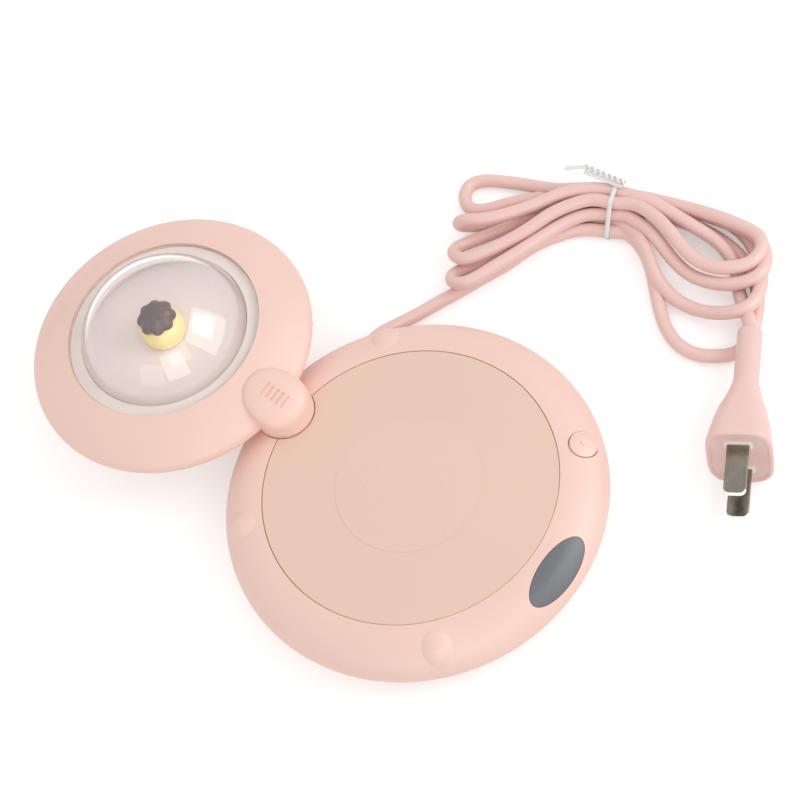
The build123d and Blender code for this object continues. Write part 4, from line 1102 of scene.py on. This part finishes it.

# %% [markdown]
# ## The clear dome
#
# Clear plastic shows every facet and every touching face, so the dome is turned again here, with far more
# steps than a solid needs. Its flange lies on a pale gasket, with a hair's breadth of air between the two.
# The gasket is cream, paler than the pink seat, so it paints the light that the glass keeps off the seat.
# Without that gap they would share one plane, and a ray of light couldn't tell which it meets first. The
# dome's outline is two arcs about one centre for the wall, and straight lines for the flange, whose upper
# edge is broken so that it catches a thin line of light.

# %% Dome
LID_CENTRE = (0.0, 91.8)
DOME_RADIUS = 26.4
DOME_RISE = 18.6
DOME_WALL = 1.3
SEAT_GAP = 0.34
FLANGE_RADIUS = 30.15
FLANGE_CORNER = 0.2
ARC_POINTS = 25
SEAM_DISTANCE = 0.001
FLANGE_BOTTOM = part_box("lamp_dome")[0][2] / MM + SEAT_GAP
FLANGE_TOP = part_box("lamp_dome")[1][2] / MM - DOME_RISE


def arc(centre, radius, start, end, count):
    """Points on an arc, as radius and height, at evenly spaced angles in degrees."""
    angles = [radians(start + (end - start) * index / (count - 1)) for index in range(count)]
    return [(radius * cos(angle), centre + radius * sin(angle)) for angle in angles]


def turned_outline(outline, height, steps):
    """Spin a half outline, given as radius and height, a full turn about Z, raised by a height."""
    shape = bmesh.new()
    points = [shape.verts.new((radius, 0, rise + height)) for radius, rise in outline]
    edges = [shape.edges.new(pair) for pair in zip(points, points[1:])]
    bmesh.ops.spin(shape, geom=points + edges, cent=(0, 0, 0), axis=(0, 0, 1), angle=tau, steps=steps,
                   use_merge=True)
    bmesh.ops.remove_doubles(shape, verts=shape.verts, dist=SEAM_DISTANCE)
    return shape


def place_on_lid(shape):
    """Move a shape drawn about Z to the lid's centre, and into metres."""
    to_metres(shape, Matrix.Translation((*LID_CENTRE, 0)))
    return shape


def dome_outline():
    """Half outline of the dome: up the inside of the wall, and down its outside to the flange."""
    ball = (DOME_RADIUS ** 2 + DOME_RISE ** 2) / (2 * DOME_RISE)
    centre = FLANGE_TOP + DOME_RISE - ball
    inner = ball - DOME_WALL
    low_outer = degrees(asin((FLANGE_TOP - centre) / ball))
    low_inner = degrees(asin((FLANGE_BOTTOM - centre) / inner))
    inside = arc(centre, inner, 90, low_inner, ARC_POINTS)
    outside = arc(centre, ball, low_outer, 90, ARC_POINTS)
    flange = [(FLANGE_RADIUS, FLANGE_BOTTOM), (FLANGE_RADIUS, FLANGE_TOP - FLANGE_CORNER),
              (FLANGE_RADIUS - FLANGE_CORNER, FLANGE_TOP)]
    return inside + flange + outside


turned_dome = place_on_lid(turned_outline(dome_outline(), 0, 128))
dome = make_piece("clear_dome", turned_dome, [dome_clear], "lid", sharp=30)
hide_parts("lamp_dome")

# %% Gasket
# The pale ring paints the light that the glass keeps from the seat under the flange.
GASKET_INNER = 26.3
GASKET_THICKNESS = 0.24
GASKET_OUTER = FLANGE_RADIUS - 0.1
GASKET_CORNER = 0.08
AIR_GAP = 0.06


def gasket_outline():
    """Closed section of the flat ring under the flange, with its upper corners broken."""
    top = FLANGE_BOTTOM - AIR_GAP
    bottom = top - GASKET_THICKNESS
    corner = GASKET_CORNER
    return [(GASKET_INNER, bottom), (GASKET_OUTER, bottom), (GASKET_OUTER, top - corner),
            (GASKET_OUTER - corner, top), (GASKET_INNER + corner, top), (GASKET_INNER, top - corner),
            (GASKET_INNER, bottom)]


turned_gasket = place_on_lid(turned_outline(gasket_outline(), 0, 96))
make_piece("dome_gasket", turned_gasket, [gasket_cream_painted_light], "lid", sharp=30)

# %% [markdown]
# ## The little toadstool
#
# Under the dome stands a small moulded ornament: a plain toadstool with a cream stem and a scalloped mauve
# cap. Both are turned shapes, so each starts as a half outline that is spun a full turn. The cap's scallops
# come afterwards: its points are pushed out and in as they go round, most at the brim and not at all at the
# top. A subdivision then softens both.

# %% Toadstool
PLATFORM_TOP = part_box("ornament_body")[0][2] / MM
STEM_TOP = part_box("ornament_body")[1][2] / MM
STEM_OUTLINE = [(0, 0), (5.6, 0), (6.5, 0.6), (6.9, 2.2), (6.7, 4.4), (5.9, 6.6), (4.6, 8.3), (0, 8.6)]
CAP_OUTLINE = [(0, 0.2), (3.6, 0), (4.9, -0.4), (5.6, 0.1), (5.8, 1.1), (5.3, 2.6), (4.1, 3.9), (2.2, 4.7),
               (0, 5.0)]
SCALLOPS = 8
SCALLOP_DEPTH = 0.1


def toadstool_cap():
    """Turned cap with scallops round its brim."""
    shape = turned_outline(CAP_OUTLINE, STEM_TOP, 64)
    brim = max(radius for radius, _ in CAP_OUTLINE)
    for vert in shape.verts:
        flat = Vector((vert.co.x, vert.co.y))
        share = (flat.length / brim) ** 2
        lobe = abs(cos(SCALLOPS / 2 * flat.angle_signed(Vector((1, 0)), 0)))
        factor = 1 + SCALLOP_DEPTH * share * (2 * lobe - 1.2)
        vert.co.x *= factor
        vert.co.y *= factor
    return place_on_lid(shape)


turned_stem = place_on_lid(turned_outline(STEM_OUTLINE, PLATFORM_TOP, 48))
stem = make_piece("toadstool_stem", turned_stem, [stem_cream], "lid", sharp=70)
cap = make_piece("toadstool_cap", toadstool_cap(), [cap_mauve], "lid", sharp=70)
subdivide(stem, 1)
subdivide(cap, 1)
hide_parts("ornament_body")
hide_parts("ornament_cap")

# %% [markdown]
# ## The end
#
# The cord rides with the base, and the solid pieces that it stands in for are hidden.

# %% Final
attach(mains_cord, "base")
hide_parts("cord_lead", "cord_tail", "cord_hank")
